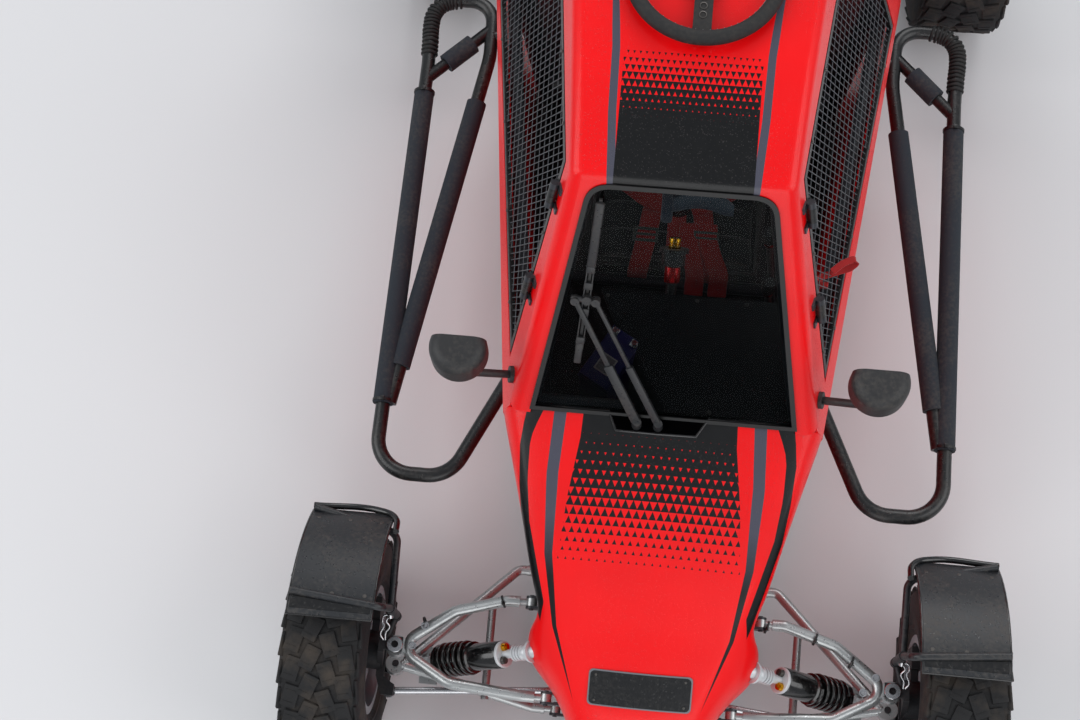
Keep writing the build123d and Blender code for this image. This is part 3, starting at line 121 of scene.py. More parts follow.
class Shader:
    """A node material under construction."""

    def __init__(self, name: str) -> None:
        """Starts an empty node tree with its output."""
        self.material = bpy.data.materials.new(name)
        self.material.use_nodes = True
        self.tree = self.material.node_tree
        self.tree.nodes.clear()
        self.output = self.tree.nodes.new("ShaderNodeOutputMaterial")

    def feed(self, socket: bpy.types.NodeSocket, value: "Sock | float | Sequence[float]") -> None:
        """Links or sets one input."""
        if isinstance(value, Sock):
            self.tree.links.new(value.link, socket)
        else:
            socket.default_value = value

    def node(self, kind: str, settings: dict, *values: object, out: object = 0, **named: object) -> Sock:
        """Adds a node.

        Args:
            kind: The node's type.
            settings: What is set before it is fed; stops fills a colour ramp.
            values: Values or links for its first inputs.
            out: The output to return, by index or name.
            named: Values or links by input name, spaces as underscores.

        Returns:
            The chosen output.
        """
        made = self.tree.nodes.new(kind)
        for key, value in settings.items():
            if key == "stops":
                ramp = made.color_ramp
                while len(ramp.elements) < len(value):
                    ramp.elements.new(0.5)
                for element, (position, colour) in zip(ramp.elements, value):
                    element.position = position
                    element.color = colour
            else:
                setattr(made, key, value)
        for index, value in enumerate(values):
            self.feed(made.inputs[index], value)
        for key, value in named.items():
            self.feed(made.inputs[key.replace("_", " ")], value)
        return Sock(self, made.outputs[out])

    def place(self) -> Sock:
        """The kart's own coordinates in metres."""
        return self.node("ShaderNodeTexCoord", {}, out="Object")

    def axes(self) -> tuple[Sock, Sock, Sock]:
        """X, Y and Z in metres as three numbers."""
        split = self.tree.nodes.new("ShaderNodeSeparateXYZ")
        self.feed(split.inputs[0], self.place())
        return tuple(Sock(self, split.outputs[index]) for index in range(3))

    def noise(self, scale: float, detail: float = 3.0, rough: float = 0.55) -> Sock:
        """Soft noise between 0 and 1 at a scale in waves a metre."""
        return self.node("ShaderNodeTexNoise", {}, Vector=self.place(), Scale=scale, Detail=detail, Roughness=rough)

    def cells(self, scale: float, out: str = "Distance") -> Sock:
        """Cell pattern at a scale in cells a metre."""
        return self.node("ShaderNodeTexVoronoi", {"feature": "F1"}, Vector=self.place(), Scale=scale, out=out)

    def table(self, value: Sock, stops: Sequence[tuple[float, float]]) -> Sock:
        """A number read from a table of (input, output) pairs, in straight lines between them."""
        low, high = stops[0][0], stops[-1][0]
        top = max(result for _, result in stops) or 1.0
        share = self.node("ShaderNodeMapRange", {}, value, low, high, 0.0, 1.0)
        greys = [((at - low) / (high - low), (result / top,) * 3 + (1.0,)) for at, result in stops]
        ramp = self.node("ShaderNodeValToRGB", {"stops": greys}, share)
        return ramp * top

    def mix(self, factor: "Sock | float", first: object, second: object) -> Sock:
        """First colour at 0, second at 1."""
        made = self.tree.nodes.new("ShaderNodeMix")
        made.data_type = "RGBA"
        self.feed(made.inputs[0], factor)
        self.feed(made.inputs[6], first)
        self.feed(made.inputs[7], second)
        return Sock(self, made.outputs[2])

    def drops(self, scale: float, share: float) -> Sock:
        """Standing water drops: height from 0 to 1.

        Args:
            scale: Cells a metre.
            share: Radius of the largest drop in cells.

        Returns:
            The height over the surface.
        """
        distance = self.cells(scale)
        chance = self.node("ShaderNodeSeparateColor", {}, self.cells(scale, out="Color"))
        radius = (chance - 0.25) * (share * 1.33)
        return ((radius - distance) * 9.0).clamp()

    def finish(self, colour: object, rough: object, bump: "Sock | None" = None, height: float = 0.0004,
               **named: object) -> bpy.types.Material:
        """Closes the material with a Principled surface.

        Args:
            colour: Base colour or its link.
            rough: Roughness or its link.
            bump: Height pattern, if any.
            height: What a bump of 1 stands for, in metres.
            named: Other Principled inputs.

        Returns:
            The material.
        """
        if bump is not None:
            named["Normal"] = self.node("ShaderNodeBump", {}, Strength=1.0, Distance=height, Height=bump)
        surface = self.node("ShaderNodeBsdfPrincipled", {}, Base_Color=colour, Roughness=rough, **named)
        self.tree.links.new(surface.link, self.output.inputs["Surface"])
        return self.material


def rgb(red: float, green: float, blue: float) -> Colour:
    """A linear colour from screen values between 0 and 1."""
    def linear(value: float) -> float:
        """One channel."""
        return value / 12.92 if value <= 0.04045 else ((value + 0.055) / 1.055) ** 2.4
    return (linear(red), linear(green), linear(blue), 1.0)


def darker(colour: Colour, share: float) -> Colour:
    """The colour with only this share of its light."""
    return tuple(value * share for value in colour[:3]) + (1.0,)


@dataclass(frozen=True)
class Paint:
    """Coloured finish for metal and plastic, with wear, dust and standing drops."""

    name: str
    colour: Colour
    rough: float = 0.35
    metal: float = 0.0
    coat: float = 0.0
    grain: float = 0.0
    grain_scale: float = 900.0
    dust: float = 0.12
    wet: float = 0.0
    shine: float = 0.5

    def material(self) -> bpy.types.Material:
        """Builds the node material."""
        shader = Shader(self.name)
        cloud = shader.noise(9.0, 4.0)
        fine = shader.noise(140.0, 2.0)
        colour = shader.mix((cloud - 0.35) * 1.6, self.colour, darker(self.colour, 0.72))
        dusty = ((cloud * fine - 0.22) * 3.0).clamp() * self.dust
        colour = shader.mix(dusty, colour, rgb(0.42, 0.39, 0.36))
        rough = (self.rough - 0.06) + fine * 0.12 + dusty * 0.6
        bump = shader.noise(self.grain_scale, 2.0) * self.grain
        if self.wet:
            water = shader.drops(170.0, 0.42)
            bump = bump + water * self.wet
            rough = rough - water * (self.rough - 0.06)
        return shader.finish(colour, rough.clamp(), bump, 0.0005, Metallic=self.metal, Coat_Weight=self.coat,
                             Coat_Roughness=0.06, Specular_IOR_Level=self.shine)


@dataclass(frozen=True)
class Bodywork:
    """Gloss red panels with their stripes and triangle halftone."""

    name: str
    graphic: Graphic
    red: Colour = rgb(0.91, 0.0, 0.02)
    slate: Colour = rgb(0.27, 0.27, 0.32)
    black: Colour = rgb(0.025, 0.027, 0.033)
    stripe_edge: float = 2500.0
    field_edge: float = 1500.0
    bonnet_shift: float = 0.004

    def band(self, across: Sock, centre: Sock, half: Sock) -> Sock:
        """1 inside a stripe that runs along the car."""
        return ((half - abs(across - centre)) * self.stripe_edge).clamp()

    def halftone(self, x: Sock, along: Sock, pitch: float, size: Sock) -> Sock:
        """Rows of triangles that grow until they close up.

        Args:
            x: Distance across the car.
            along: Distance in rows, rising towards the triangles' tips.
            pitch: Width of one triangle's place.
            size: Size of the row's triangles, 0 to 2.

        Returns:
            1 on the triangles.
        """
        row = along.floor()
        shift = (row * 0.5).fract()
        column = abs((x / pitch + shift + 50.0).fract() - 0.5)
        return ((size - along.fract() - column * 2.0) * 14.0).clamp()

    def bonnet(self, shader: Shader, colour: Sock) -> Sock:
        """Side bands, slate stripes and the halftone behind the cowl."""
        x, y, z = shader.axes()
        x = x + self.bonnet_shift
        across = abs(x)
        top = (z > 0.33) * (y < -0.470)
        outer = shader.table(y * -1.0, [(0.478, 0.264), (0.51, 0.270), (0.55, 0.275), (0.62, 0.271), (0.69, 0.262),
                                        (0.78, 0.237), (0.854, 0.216), (0.876, 0.208), (1.2, 0.10)])
        width = shader.table(y * -1.0, [(0.478, 0.018), (0.50, 0.015), (0.53, 0.011), (0.60, 0.009), (0.84, 0.0085),
                                        (0.875, 0.0), (1.2, 0.0)])
        black = self.band(across, outer - width, width)
        centre = shader.table(y * -1.0, [(0.47, 0.197), (0.60, 0.205), (0.75, 0.201), (0.884, 0.178), (1.03, 0.126),
                                         (1.2, 0.05)])
        half = shader.table(y * -1.0, [(0.47, 0.0128), (0.62, 0.0118), (0.76, 0.0080), (0.884, 0.0045), (1.03, 0.0),
                                       (1.2, 0.0)])
        stripe = self.band(across, centre, half)
        fade = ((y * -1.0 - 0.68) * 9.0).clamp()
        colour = shader.mix(black * top, colour, self.black)
        colour = shader.mix(stripe * top, colour, shader.mix(fade, self.slate, self.black))
        pitch, step, last = 0.0158, 0.01685, 0.7585
        rows = (y + last) / step
        size = (rows.floor() * 0.125 + 0.36) * (rows > 0.0)
        edge = shader.table(y * -1.0, [(0.47, 0.152), (0.53, 0.155), (0.64, 0.172), (0.76, 0.183)])
        inside = ((edge - across) * self.field_edge).clamp()
        solid = (y > -0.5226)
        return shader.mix((self.halftone(x, rows, pitch, size) + solid).clamp() * inside * top, colour, self.black)

    def roof(self, shader: Shader, colour: Sock) -> Sock:
        """Slate stripes and the halftone above the windscreen."""
        x, y, z = shader.axes()
        across = abs(x)
        top = (z > 1.10)
        centre = shader.table(y, [(-0.2, 0.128), (-0.06, 0.137), (0.06, 0.140), (0.14, 0.147), (0.56, 0.190)])
        half = shader.table(y, [(-0.2, 0.0078), (0.1, 0.0074), (0.2, 0.0055), (0.56, 0.0050)])
        stripe = self.band(across, centre, half)
        colour = shader.mix(stripe * top, colour, self.slate)
        pitch, step, last = 0.0112, 0.0134, 0.055
        rows = (last - y) / step
        size = ((rows.floor() + 1.0) * 0.19 + 0.30) * (rows > 0.0)
        inside = ((0.1255 - across) * self.field_edge).clamp()
        solid = (y < -0.085)
        return shader.mix((self.halftone(x, rows, pitch, size) + solid).clamp() * inside * top, colour, self.black)

    def material(self) -> bpy.types.Material:
        """Builds the node material."""
        shader = Shader(self.name)
        cloud = shader.noise(5.0, 4.0)
        colour = shader.mix((cloud - 0.3) * 1.2, self.red, rgb(0.82, 0.0, 0.02))
        if self.graphic is Graphic.BONNET:
            colour = self.bonnet(shader, colour)
        if self.graphic is Graphic.ROOF:
            colour = self.roof(shader, colour)
        water = shader.drops(330.0, 0.40) * ((shader.noise(4.0, 2.0) - 0.38) * 5.0).clamp()
        # The drops are mixed 5% towards a pale pink, a painted glint on them; their bump and lower roughness are real.
        colour = shader.mix(water * 0.05, colour, rgb(0.85, 0.80, 0.80))
        rough = 0.28 + shader.noise(60.0, 3.0) * 0.12 - water * 0.2
        peel = shader.noise(260.0, 1.0) * 0.05
        return shader.finish(colour, rough, water + peel, 0.0006, Coat_Weight=0.12, Coat_Roughness=0.08,
                             Specular_IOR_Level=0.3)


@dataclass(frozen=True)
class Screen:
    """Clear sheet with drops on it."""

    name: str
    tint: Colour = rgb(0.05, 0.06, 0.065)

    def material(self) -> bpy.types.Material:
        """Builds the node material."""
        shader = Shader(self.name)
        water = shader.drops(150.0, 0.40)
        gloss = shader.node("ShaderNodeFresnel", {}, IOR=1.45)
        normal = shader.node("ShaderNodeBump", {}, Strength=1.0, Distance=0.0008, Height=water)
        sheet = shader.node("ShaderNodeBsdfPrincipled", {}, Base_Color=self.tint, Roughness=0.04, Normal=normal)
        clear = shader.node("ShaderNodeBsdfTransparent", {}, (0.66, 0.69, 0.70, 1.0))
        both = shader.node("ShaderNodeMixShader", {}, (0.03 + gloss * 0.70 + water * 0.22).clamp(), clear, sheet)
        shader.tree.links.new(both.link, shader.output.inputs["Surface"])
        return shader.material


@dataclass(frozen=True)
class Tread:
    """Tyre rubber with dust in its low places."""

    name: str
    colour: Colour = rgb(0.085, 0.085, 0.09)

    def material(self) -> bpy.types.Material:
        """Builds the node material."""
        shader = Shader(self.name)
        cloud = shader.noise(18.0, 5.0)
        fine = shader.noise(420.0, 3.0)
        dusty = ((cloud - 0.48) * 4.0).clamp() * 0.45
        colour = shader.mix(dusty, self.colour, rgb(0.33, 0.29, 0.25))
        rough = 0.62 + fine * 0.2 + dusty * 0.2
        return shader.finish(colour, rough.clamp(), fine + shader.noise(90.0, 3.0), 0.0005, Specular_IOR_Level=0.35)


@dataclass(frozen=True)
class Weave:
    """Woven cloth or webbing."""

    name: str
    colour: Colour
    pitch: float = 0.0016

    def material(self) -> bpy.types.Material:
        """Builds the node material."""
        shader = Shader(self.name)
        x, y, z = shader.axes()
        warp = abs((x / self.pitch).fract() - 0.5) * 2.0
        weft = abs(((y + z) / self.pitch).fract() - 0.5) * 2.0
        cloth = warp * weft
        cloud = shader.noise(14.0, 4.0)
        # Colour runs from 0.45 of the cloth's own colour where the weave is low up to the full colour on the threads'
        # tops: painted shade between the threads, which also darkens the cloth as a whole; the cloud adds random tone.
        colour = shader.mix(cloth * 0.7 + (cloud - 0.4) * 0.5, darker(self.colour, 0.45), self.colour)
        return shader.finish(colour, 0.82 + cloud * 0.1, cloth + cloud * 0.4, 0.0005, Sheen_Weight=0.25)


def curve_mesh(points: Sequence[Point], radius: float, smooth: bool = True, cyclic: bool = False) -> bpy.types.Mesh:
    """The mesh of a line or round tube through points.

    Args:
        points: What it passes through.
        radius: The tube's radius, or 0 for its middle line.
        smooth: Curved between the points.
        cyclic: Closed into a loop.

    Returns:
        A new mesh, for the caller to remove.
    """
    curve = bpy.data.curves.new("route", "CURVE")
    curve.dimensions = "3D"
    spline = curve.splines.new("BEZIER" if smooth else "POLY")
    knots = spline.bezier_points if smooth else spline.points
    knots.add(len(points) - 1)
    for knot, point in zip(knots, points):
        if smooth:
            knot.co = point
            knot.handle_left_type = knot.handle_right_type = "AUTO"
        else:
            knot.co = (*point, 1.0)
    spline.use_cyclic_u = cyclic
    curve.bevel_depth = radius
    curve.bevel_resolution = 3
    curve.resolution_u = 8
    curve.use_fill_caps = True
    holder = bpy.data.objects.new("route", curve)
    bpy.context.scene.collection.objects.link(holder)
    bpy.context.view_layer.update()
    mesh = bpy.data.meshes.new_from_object(holder)
    bpy.data.objects.remove(holder)
    bpy.data.curves.remove(curve)
    return mesh


def circle(count: int, radius: float, start: float = 0.0) -> list[tuple[float, float]]:
    """Points evenly spaced round a circle."""
    turns = [math.tau * index / count + start for index in range(count)]
    return [(radius * math.cos(turn), radius * math.sin(turn)) for turn in turns]


def turns(centre: Point, count: int, axis: str, start: float = 0.0) -> list[Matrix]:
    """Places evenly turned about an axis through a point."""
    return [Matrix.Translation(centre) @ Matrix.Rotation(math.tau * index / count + start, 4, axis)
            for index in range(count)]


def band(bore: float, radius: float, half: float) -> list[tuple[float, float]]:
    """Section of a plain ring, for Shape.lathe."""
    return [(bore, -half), (radius, -half), (radius, half), (bore, half)]


def collar(bore: float, shoulder: float, radius: float, low: float, high: float) -> list[tuple[float, float]]:
    """Section of a ring with bevelled edges, for Shape.lathe."""
    bevel = 0.002
    return [(bore, low), (shoulder, low), (radius, low + bevel), (radius, high - bevel), (shoulder, high), (bore, high)]


def track(points: Sequence[Point]) -> list[Vector]:
    """Closely spaced points along a smooth line."""
    mesh = curve_mesh(points, 0.0)
    route = [vert.co.copy() for vert in mesh.vertices]
    bpy.data.meshes.remove(mesh)
    return route


class Shape:
    """A mesh under construction, in metres and in the kart's own frame."""

    def __init__(self) -> None:
        """Starts empty."""
        self.bm = bmesh.new()

    def box(self, low: Point, high: Point, bevel: float = 0.0, turn: "Matrix | None" = None) -> "Shape":
        """Adds a block between two corners, with rounded edges if asked.

        Args:
            low: Lowest corner.
            high: Highest corner.
            bevel: Radius of its edges.
            turn: Turns and moves the finished block.

        Returns:
            This shape.
        """
        low, high = Vector(low), Vector(high)
        size = high - low
        matrix = Matrix.Translation((low + high) / 2) @ Matrix.Diagonal((*size, 1.0))
        made = bmesh.ops.create_cube(self.bm, size=1.0, matrix=matrix)["verts"]
        if bevel:
            edges = list({edge for vert in made for edge in vert.link_edges})
            cut = bmesh.ops.bevel(self.bm, geom=edges, offset=bevel, offset_type="OFFSET", segments=2, profile=0.5,
                                  affect="EDGES", material=-1)
            made = list({vert for face in cut["faces"] for vert in face.verts} | {v for v in made if v.is_valid})
        if turn is not None:
            bmesh.ops.transform(self.bm, matrix=turn, verts=made)
        return self

    def boxes(self, blocks: Iterable[tuple[Point, Point, float]], turn: "Matrix | None" = None) -> "Shape":
        """Adds blocks given by their corners and bevels."""
        for low, high, bevel in blocks:
            self.box(low, high, bevel, turn)
        return self

    def bar(self, start: Point, end: Point, radius: float, tip: "float | None" = None, sides: int = 20) -> "Shape":
        """Adds a round bar or cone between two points."""
        start, end = Vector(start), Vector(end)
        axis = end - start
        matrix = Matrix.Translation((start + end) / 2) @ axis.to_track_quat("Z", "Y").to_matrix().to_4x4()
        bmesh.ops.create_cone(self.bm, cap_ends=True, cap_tris=False, segments=sides, radius1=radius,
                              radius2=radius if tip is None else tip, depth=axis.length, matrix=matrix)
        return self

    def lathe(self, profile: Iterable[tuple[float, float]], start: Point, axis: Point, steps: int = 40,
              closed: bool = True) -> "Shape":
        """Spins a profile of (radius, distance along) round an axis from a start point."""
        verts = [self.bm.verts.new((radius, 0.0, along)) for radius, along in profile]
        edges = [self.bm.edges.new(pair) for pair in zip(verts, verts[1:])]
        if closed:
            edges.append(self.bm.edges.new((verts[-1], verts[0])))
        before = set(self.bm.verts) - set(verts)
        bmesh.ops.spin(self.bm, geom=verts + edges, cent=(0, 0, 0), axis=Z_AXIS, angle=math.tau, steps=steps,
                       use_merge=True, use_duplicate=False)
        made = [vert for vert in self.bm.verts if vert not in before]
        matrix = Matrix.Translation(start) @ Vector(axis).to_track_quat("Z", "Y").to_matrix().to_4x4()
        bmesh.ops.transform(self.bm, matrix=matrix, verts=made)
        return self

    def torus(self, centre: Point, axis: Point, major: float, minor: float, steps: int = 48) -> "Shape":
        """Adds a ring of round section."""
        return self.lathe([(major + out, along) for out, along in circle(14, minor)], centre, axis, steps)

    def sweep(self, points: Sequence[Point], radius: float, smooth: bool = True, cyclic: bool = False) -> "Shape":
        """Adds a round tube along points, curved or straight between them."""
        mesh = curve_mesh(points, radius, smooth, cyclic)
        self.bm.from_mesh(mesh)
        bpy.data.meshes.remove(mesh)
        return self

    def grid(self, rows: Sequence[Sequence[Vector]]) -> "Shape":
        """Adds a sheet whose vertices are moved onto rows of points."""
        made = bmesh.ops.create_grid(self.bm, x_segments=len(rows[0]) - 1, y_segments=len(rows) - 1, size=0.5)["verts"]
        made.sort(key=lambda vert: (round(vert.co.y, 5), round(vert.co.x, 5)))
        for vert, point in zip(made, [point for row in rows for point in row]):
            vert.co = point
        return self

    def plate(self, corners: Sequence[Point], lift: Point) -> "Shape":
        """Adds a flat face to an empty shape and extrudes it."""
        self.bm.faces.new([self.bm.verts.new(corner) for corner in corners])
        return self.thicken(lift)

    def thicken(self, lift: Point) -> "Shape":
        """Extrudes all faces so far by a vector."""
        lifted = bmesh.ops.extrude_face_region(self.bm, geom=self.bm.faces[:])["geom"]
        bmesh.ops.translate(self.bm, vec=lift, verts=[item for item in lifted if isinstance(item, bmesh.types.BMVert)])
        return self

    def strap(self, points: Sequence[Point], across: Point, width: float) -> "Shape":
        """Adds a flat strap along a smooth line, laid across one direction."""
        route = track(points)
        rows = []
        for index, point in enumerate(route):
            run = (route[min(index + 1, len(route) - 1)] - route[max(index - 1, 0)]).normalized()
            side = Vector(across)
            side = (side - run * side.dot(run)).normalized()
            rows.append([point + side * (width * share) for share in (-0.5, -0.25, 0.0, 0.25, 0.5)])
        return self.grid(rows)

    def mirror(self) -> "Shape":
        """Adds the same on the car's other side."""
        copy = bmesh.ops.duplicate(self.bm, geom=self.bm.verts[:] + self.bm.edges[:] + self.bm.faces[:])["geom"]
        verts = [item for item in copy if isinstance(item, bmesh.types.BMVert)]
        faces = [item for item in copy if isinstance(item, bmesh.types.BMFace)]
        bmesh.ops.transform(self.bm, matrix=Matrix.Diagonal((-1.0, 1.0, 1.0, 1.0)), verts=verts)
        bmesh.ops.reverse_faces(self.bm, faces=faces)
        return self

    def done(self, name: str, body: Body, material: bpy.types.Material, slot: str,
             replaces: Sequence[str] = (), angle: float = 38.0, subdivide: int = 0,
             wall: float = 0.0) -> bpy.types.Object:
        """Turns the shape into a piece of the kart.

        Args:
            name: The piece's plain name.
            body: The body it rides on.
            material: Its finish.
            slot: Not used.
            replaces: CAD nodes that it stands for.
            angle: Edges sharper than this stay crisp, in degrees.
            subdivide: Subdivision levels.
            wall: Wall thickness for an open sheet.

        Returns:
            The finished object.
        """
        bmesh.ops.remove_doubles(self.bm, verts=self.bm.verts[:], dist=1e-6)
        bmesh.ops.recalc_face_normals(self.bm, faces=self.bm.faces[:])
        for face in self.bm.faces:
            face.smooth = True
        for edge in self.bm.edges:
            edge.smooth = edge.calc_face_angle(0.0) < math.radians(angle)
        mesh = bpy.data.meshes.new(name)
        self.bm.to_mesh(mesh)
        self.bm.free()
        piece = bpy.data.objects.new(name, mesh)
        bpy.context.scene.collection.objects.link(piece)
        mesh.materials.append(material)
        if wall:
            solid = piece.modifiers.new("wall", "SOLIDIFY")
            solid.thickness = wall
            solid.offset = -1.0
        if subdivide:
            rounder = piece.modifiers.new("round", "SUBSURF")
            rounder.levels = rounder.render_levels = subdivide
        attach(piece, body.value)
        if replaces:
            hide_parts(*replaces)
        LOG.info("%s: %d faces on %s", name, len(mesh.polygons), body.value)
        return piece


def dress(material: bpy.types.Material, *nodes: str) -> None:
    """Gives CAD nodes a finish."""
    for name in nodes:
        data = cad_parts[name].data
        data.materials.clear()
        data.materials.append(material)


@dataclass
class Studio:
    """Camera, lamps, world and floor."""

    place: Point = (-0.023, -1.403, 3.995)
    turn: Point = (17.22, 3.83, 4.75)
    lens: float = 57.43
    sensor: float = 36.0
    aim: Point = (0.0, 0.0, 0.4)
    lamps: tuple[tuple[str, Point, float, float], ...] = (
        ("key", (-4.6, -1.2, 4.6), 5.0, 210.0),
        ("fill", (4.6, -1.0, 4.4), 5.0, 170.0),
        ("back", (0.5, 5.0, 4.2), 4.0, 170.0),
        ("front", (0.6, -5.4, 2.6), 4.0, 90.0),
    )
    sky: Colour = (0.80, 0.84, 0.90, 1.0)
    sky_strength: float = 0.50
    ground: Colour = (0.62, 0.62, 0.63, 1.0)

    def camera(self) -> None:
        """Sets the camera where the photographer stood."""
        data = bpy.data.cameras.new("camera")
        data.sensor_width = self.sensor
        data.lens = self.lens
        data.clip_end = 200.0
        camera = bpy.data.objects.new("camera", data)
        bpy.context.scene.collection.objects.link(camera)
        about_x, about_y, about_z = (math.radians(angle) for angle in self.turn)
        turned = (Matrix.Rotation(about_x, 4, "X") @ Matrix.Rotation(about_y, 4, "Y")
                  @ Matrix.Rotation(about_z, 4, "Z"))
        camera.matrix_world = Matrix.Translation(self.place) @ turned
        bpy.context.scene.camera = camera

    def lamp(self, name: str, place: Point, size: float, power: float) -> None:
        """Adds one soft lamp aimed at the kart."""
        data = bpy.data.lights.new(name, "AREA")
        data.energy = power
        data.size = size
        lamp = bpy.data.objects.new(name, data)
        bpy.context.scene.collection.objects.link(lamp)
        aim = Vector(self.aim) - Vector(place)
        lamp.matrix_world = Matrix.Translation(place) @ aim.to_track_quat("-Z", "Y").to_matrix().to_4x4()

    def floor(self) -> None:
        """Adds the pale floor."""
        bm = bmesh.new()
        bmesh.ops.create_grid(bm, x_segments=1, y_segments=1, size=30.0)
        mesh = bpy.data.meshes.new("floor")
        bm.to_mesh(mesh)
        bm.free()
        floor = bpy.data.objects.new("floor", mesh)
        bpy.context.scene.collection.objects.link(floor)
        shader = Shader("floor_pale")
        mesh.materials.append(shader.finish(self.ground, 0.75))

    def world(self) -> None:
        """Sets a soft even sky."""
        world = bpy.data.worlds.new("world")
        world.use_nodes = True
        colour, strength = world.node_tree.nodes["Background"].inputs[:2]
        colour.default_value, strength.default_value = self.sky, self.sky_strength
        bpy.context.scene.world = world

    def build(self) -> None:
        """Sets up the studio."""
        bpy.context.scene.view_settings.view_transform = "Standard"
        self.camera()
        self.world()
        self.floor()
        for lamp in self.lamps:
            self.lamp(*lamp)


@dataclass
class Finishes:
    """All the kart's materials."""

    made: dict[str, bpy.types.Material] = field(default_factory=dict)

    def build(self) -> None:
        """Makes each material once."""
        table = [
            Bodywork("red_plain", Graphic.PLAIN),
            Bodywork("red_bonnet", Graphic.BONNET),
            Bodywork("red_roof", Graphic.ROOF),
            Screen("screen_clear"),
            Tread("tyre_rubber"),
            Weave("belt_webbing", rgb(0.80, 0.03, 0.04), 0.0022),
            Weave("seat_cloth", rgb(0.09, 0.09, 0.10)),
            Paint("frame_silver", rgb(0.68, 0.69, 0.69), 0.32, 0.8, grain=0.10, dust=0.06, wet=0.08),
            Paint("frame_grey", rgb(0.17, 0.18, 0.20), 0.40, 0.2, grain=0.15),
            Paint("black_tube", rgb(0.05, 0.056, 0.062), 0.34, grain=0.12, dust=0.25, wet=0.5),
            Paint("black_gloss", rgb(0.045, 0.045, 0.05), 0.18, coat=0.3, dust=0.1, wet=0.4),
            Paint("black_moulded", rgb(0.09, 0.092, 0.10), 0.52, grain=0.4, grain_scale=1400.0, dust=0.3),
            Paint("black_guard", rgb(0.085, 0.098, 0.115), 0.40, grain=0.3, dust=0.4, wet=0.5),
            Paint("dash_black", rgb(0.035, 0.038, 0.045), 0.5, grain=0.3, dust=0.1, shine=0.3),
            Paint("foam_blue", rgb(0.105, 0.13, 0.165), 0.85, grain=0.9, grain_scale=650.0, dust=0.35),
            Paint("wire_zinc", rgb(0.30, 0.31, 0.33), 0.45, 0.4, grain=0.1, dust=0.2),
            Paint("steel_bright", rgb(0.72, 0.72, 0.73), 0.24, 1.0, dust=0.1),
            Paint("steel_dark", rgb(0.36, 0.35, 0.34), 0.42, 0.9, grain=0.3, dust=0.25),
            Paint("cast_grey", rgb(0.40, 0.40, 0.41), 0.58, 0.7, grain=0.8, grain_scale=500.0, dust=0.35),
            Paint("alloy_cast", rgb(0.66, 0.67, 0.69), 0.34, 0.9, grain=0.1, dust=0.2),
            Paint("alloy_sheet", rgb(0.68, 0.69, 0.71), 0.32, 0.9, grain=0.1, dust=0.2),
            Paint("gold", rgb(0.86, 0.62, 0.14), 0.24, 1.0, dust=0.0),
            Paint("red_anodised", rgb(0.75, 0.03, 0.05), 0.26, 0.8, dust=0.0),
            Paint("battery_blue", rgb(0.06, 0.07, 0.42), 0.4, grain=0.3, dust=0.1),
            Paint("label_blank", rgb(0.78, 0.78, 0.76), 0.5, dust=0.3),
            Paint("mirror_face", rgb(0.86, 0.88, 0.90), 0.04, 1.0, dust=0.0),
            Paint("grip", rgb(0.06, 0.06, 0.065), 0.72, grain=0.9, dust=0.2),
            Paint("lamp_red", rgb(0.72, 0.03, 0.04), 0.12, coat=0.6, dust=0.05),
            Paint("wiper_grey", rgb(0.11, 0.115, 0.125), 0.45, grain=0.3, dust=0.3, wet=0.3),
            Paint("mirror_case", rgb(0.30, 0.34, 0.40), 0.45, grain=0.3, dust=0.1),
            Paint("label_grey", rgb(0.52, 0.53, 0.54), 0.5, dust=0.2),
            # Near-black with no shine: painted shade for the dark opening under the cowl notch.
            Paint("painted_shade_black", rgb(0.01, 0.01, 0.012), 0.8, dust=0.0, shine=0.0),
            Paint("hinge_grey", rgb(0.22, 0.23, 0.25), 0.35, 0.5, dust=0.15),
            Paint("cap_silver", rgb(0.80, 0.81, 0.82), 0.42, 0.35, dust=0.08),
            Paint("tray_dark", rgb(0.10, 0.10, 0.11), 0.5, 0.5, grain=0.2, dust=0.2),
            Paint("seal_black", rgb(0.03, 0.032, 0.035), 0.45, dust=0.05),
            Paint("cast_dark", rgb(0.16, 0.16, 0.17), 0.5, 0.6, grain=0.6, grain_scale=500.0, dust=0.2),
            Paint("zip_black", rgb(0.04, 0.04, 0.045), 0.4, dust=0.0),
            Paint("plate_edge", rgb(0.45, 0.46, 0.48), 0.35, 0.3, dust=0.0),
        ]
        for finish in table:
            self.made[finish.name] = finish.material()

    def __getitem__(self, name: str) -> bpy.types.Material:
        """A finish by name."""
        return self.made[name]


@dataclass
class Assembly:
    """A group of pieces that share the kart's finishes."""

    finishes: Finishes

    def add(self, shape: Shape, name: str, finish: str, slot: str, *options: object, body: Body = Body.CHASSIS,
            **named: object) -> bpy.types.Object:
        """Makes a shape a piece in one of the finishes; what Shape.done takes besides goes on to it."""
        return shape.done(name, body, self.finishes[finish], slot, *options, **named)


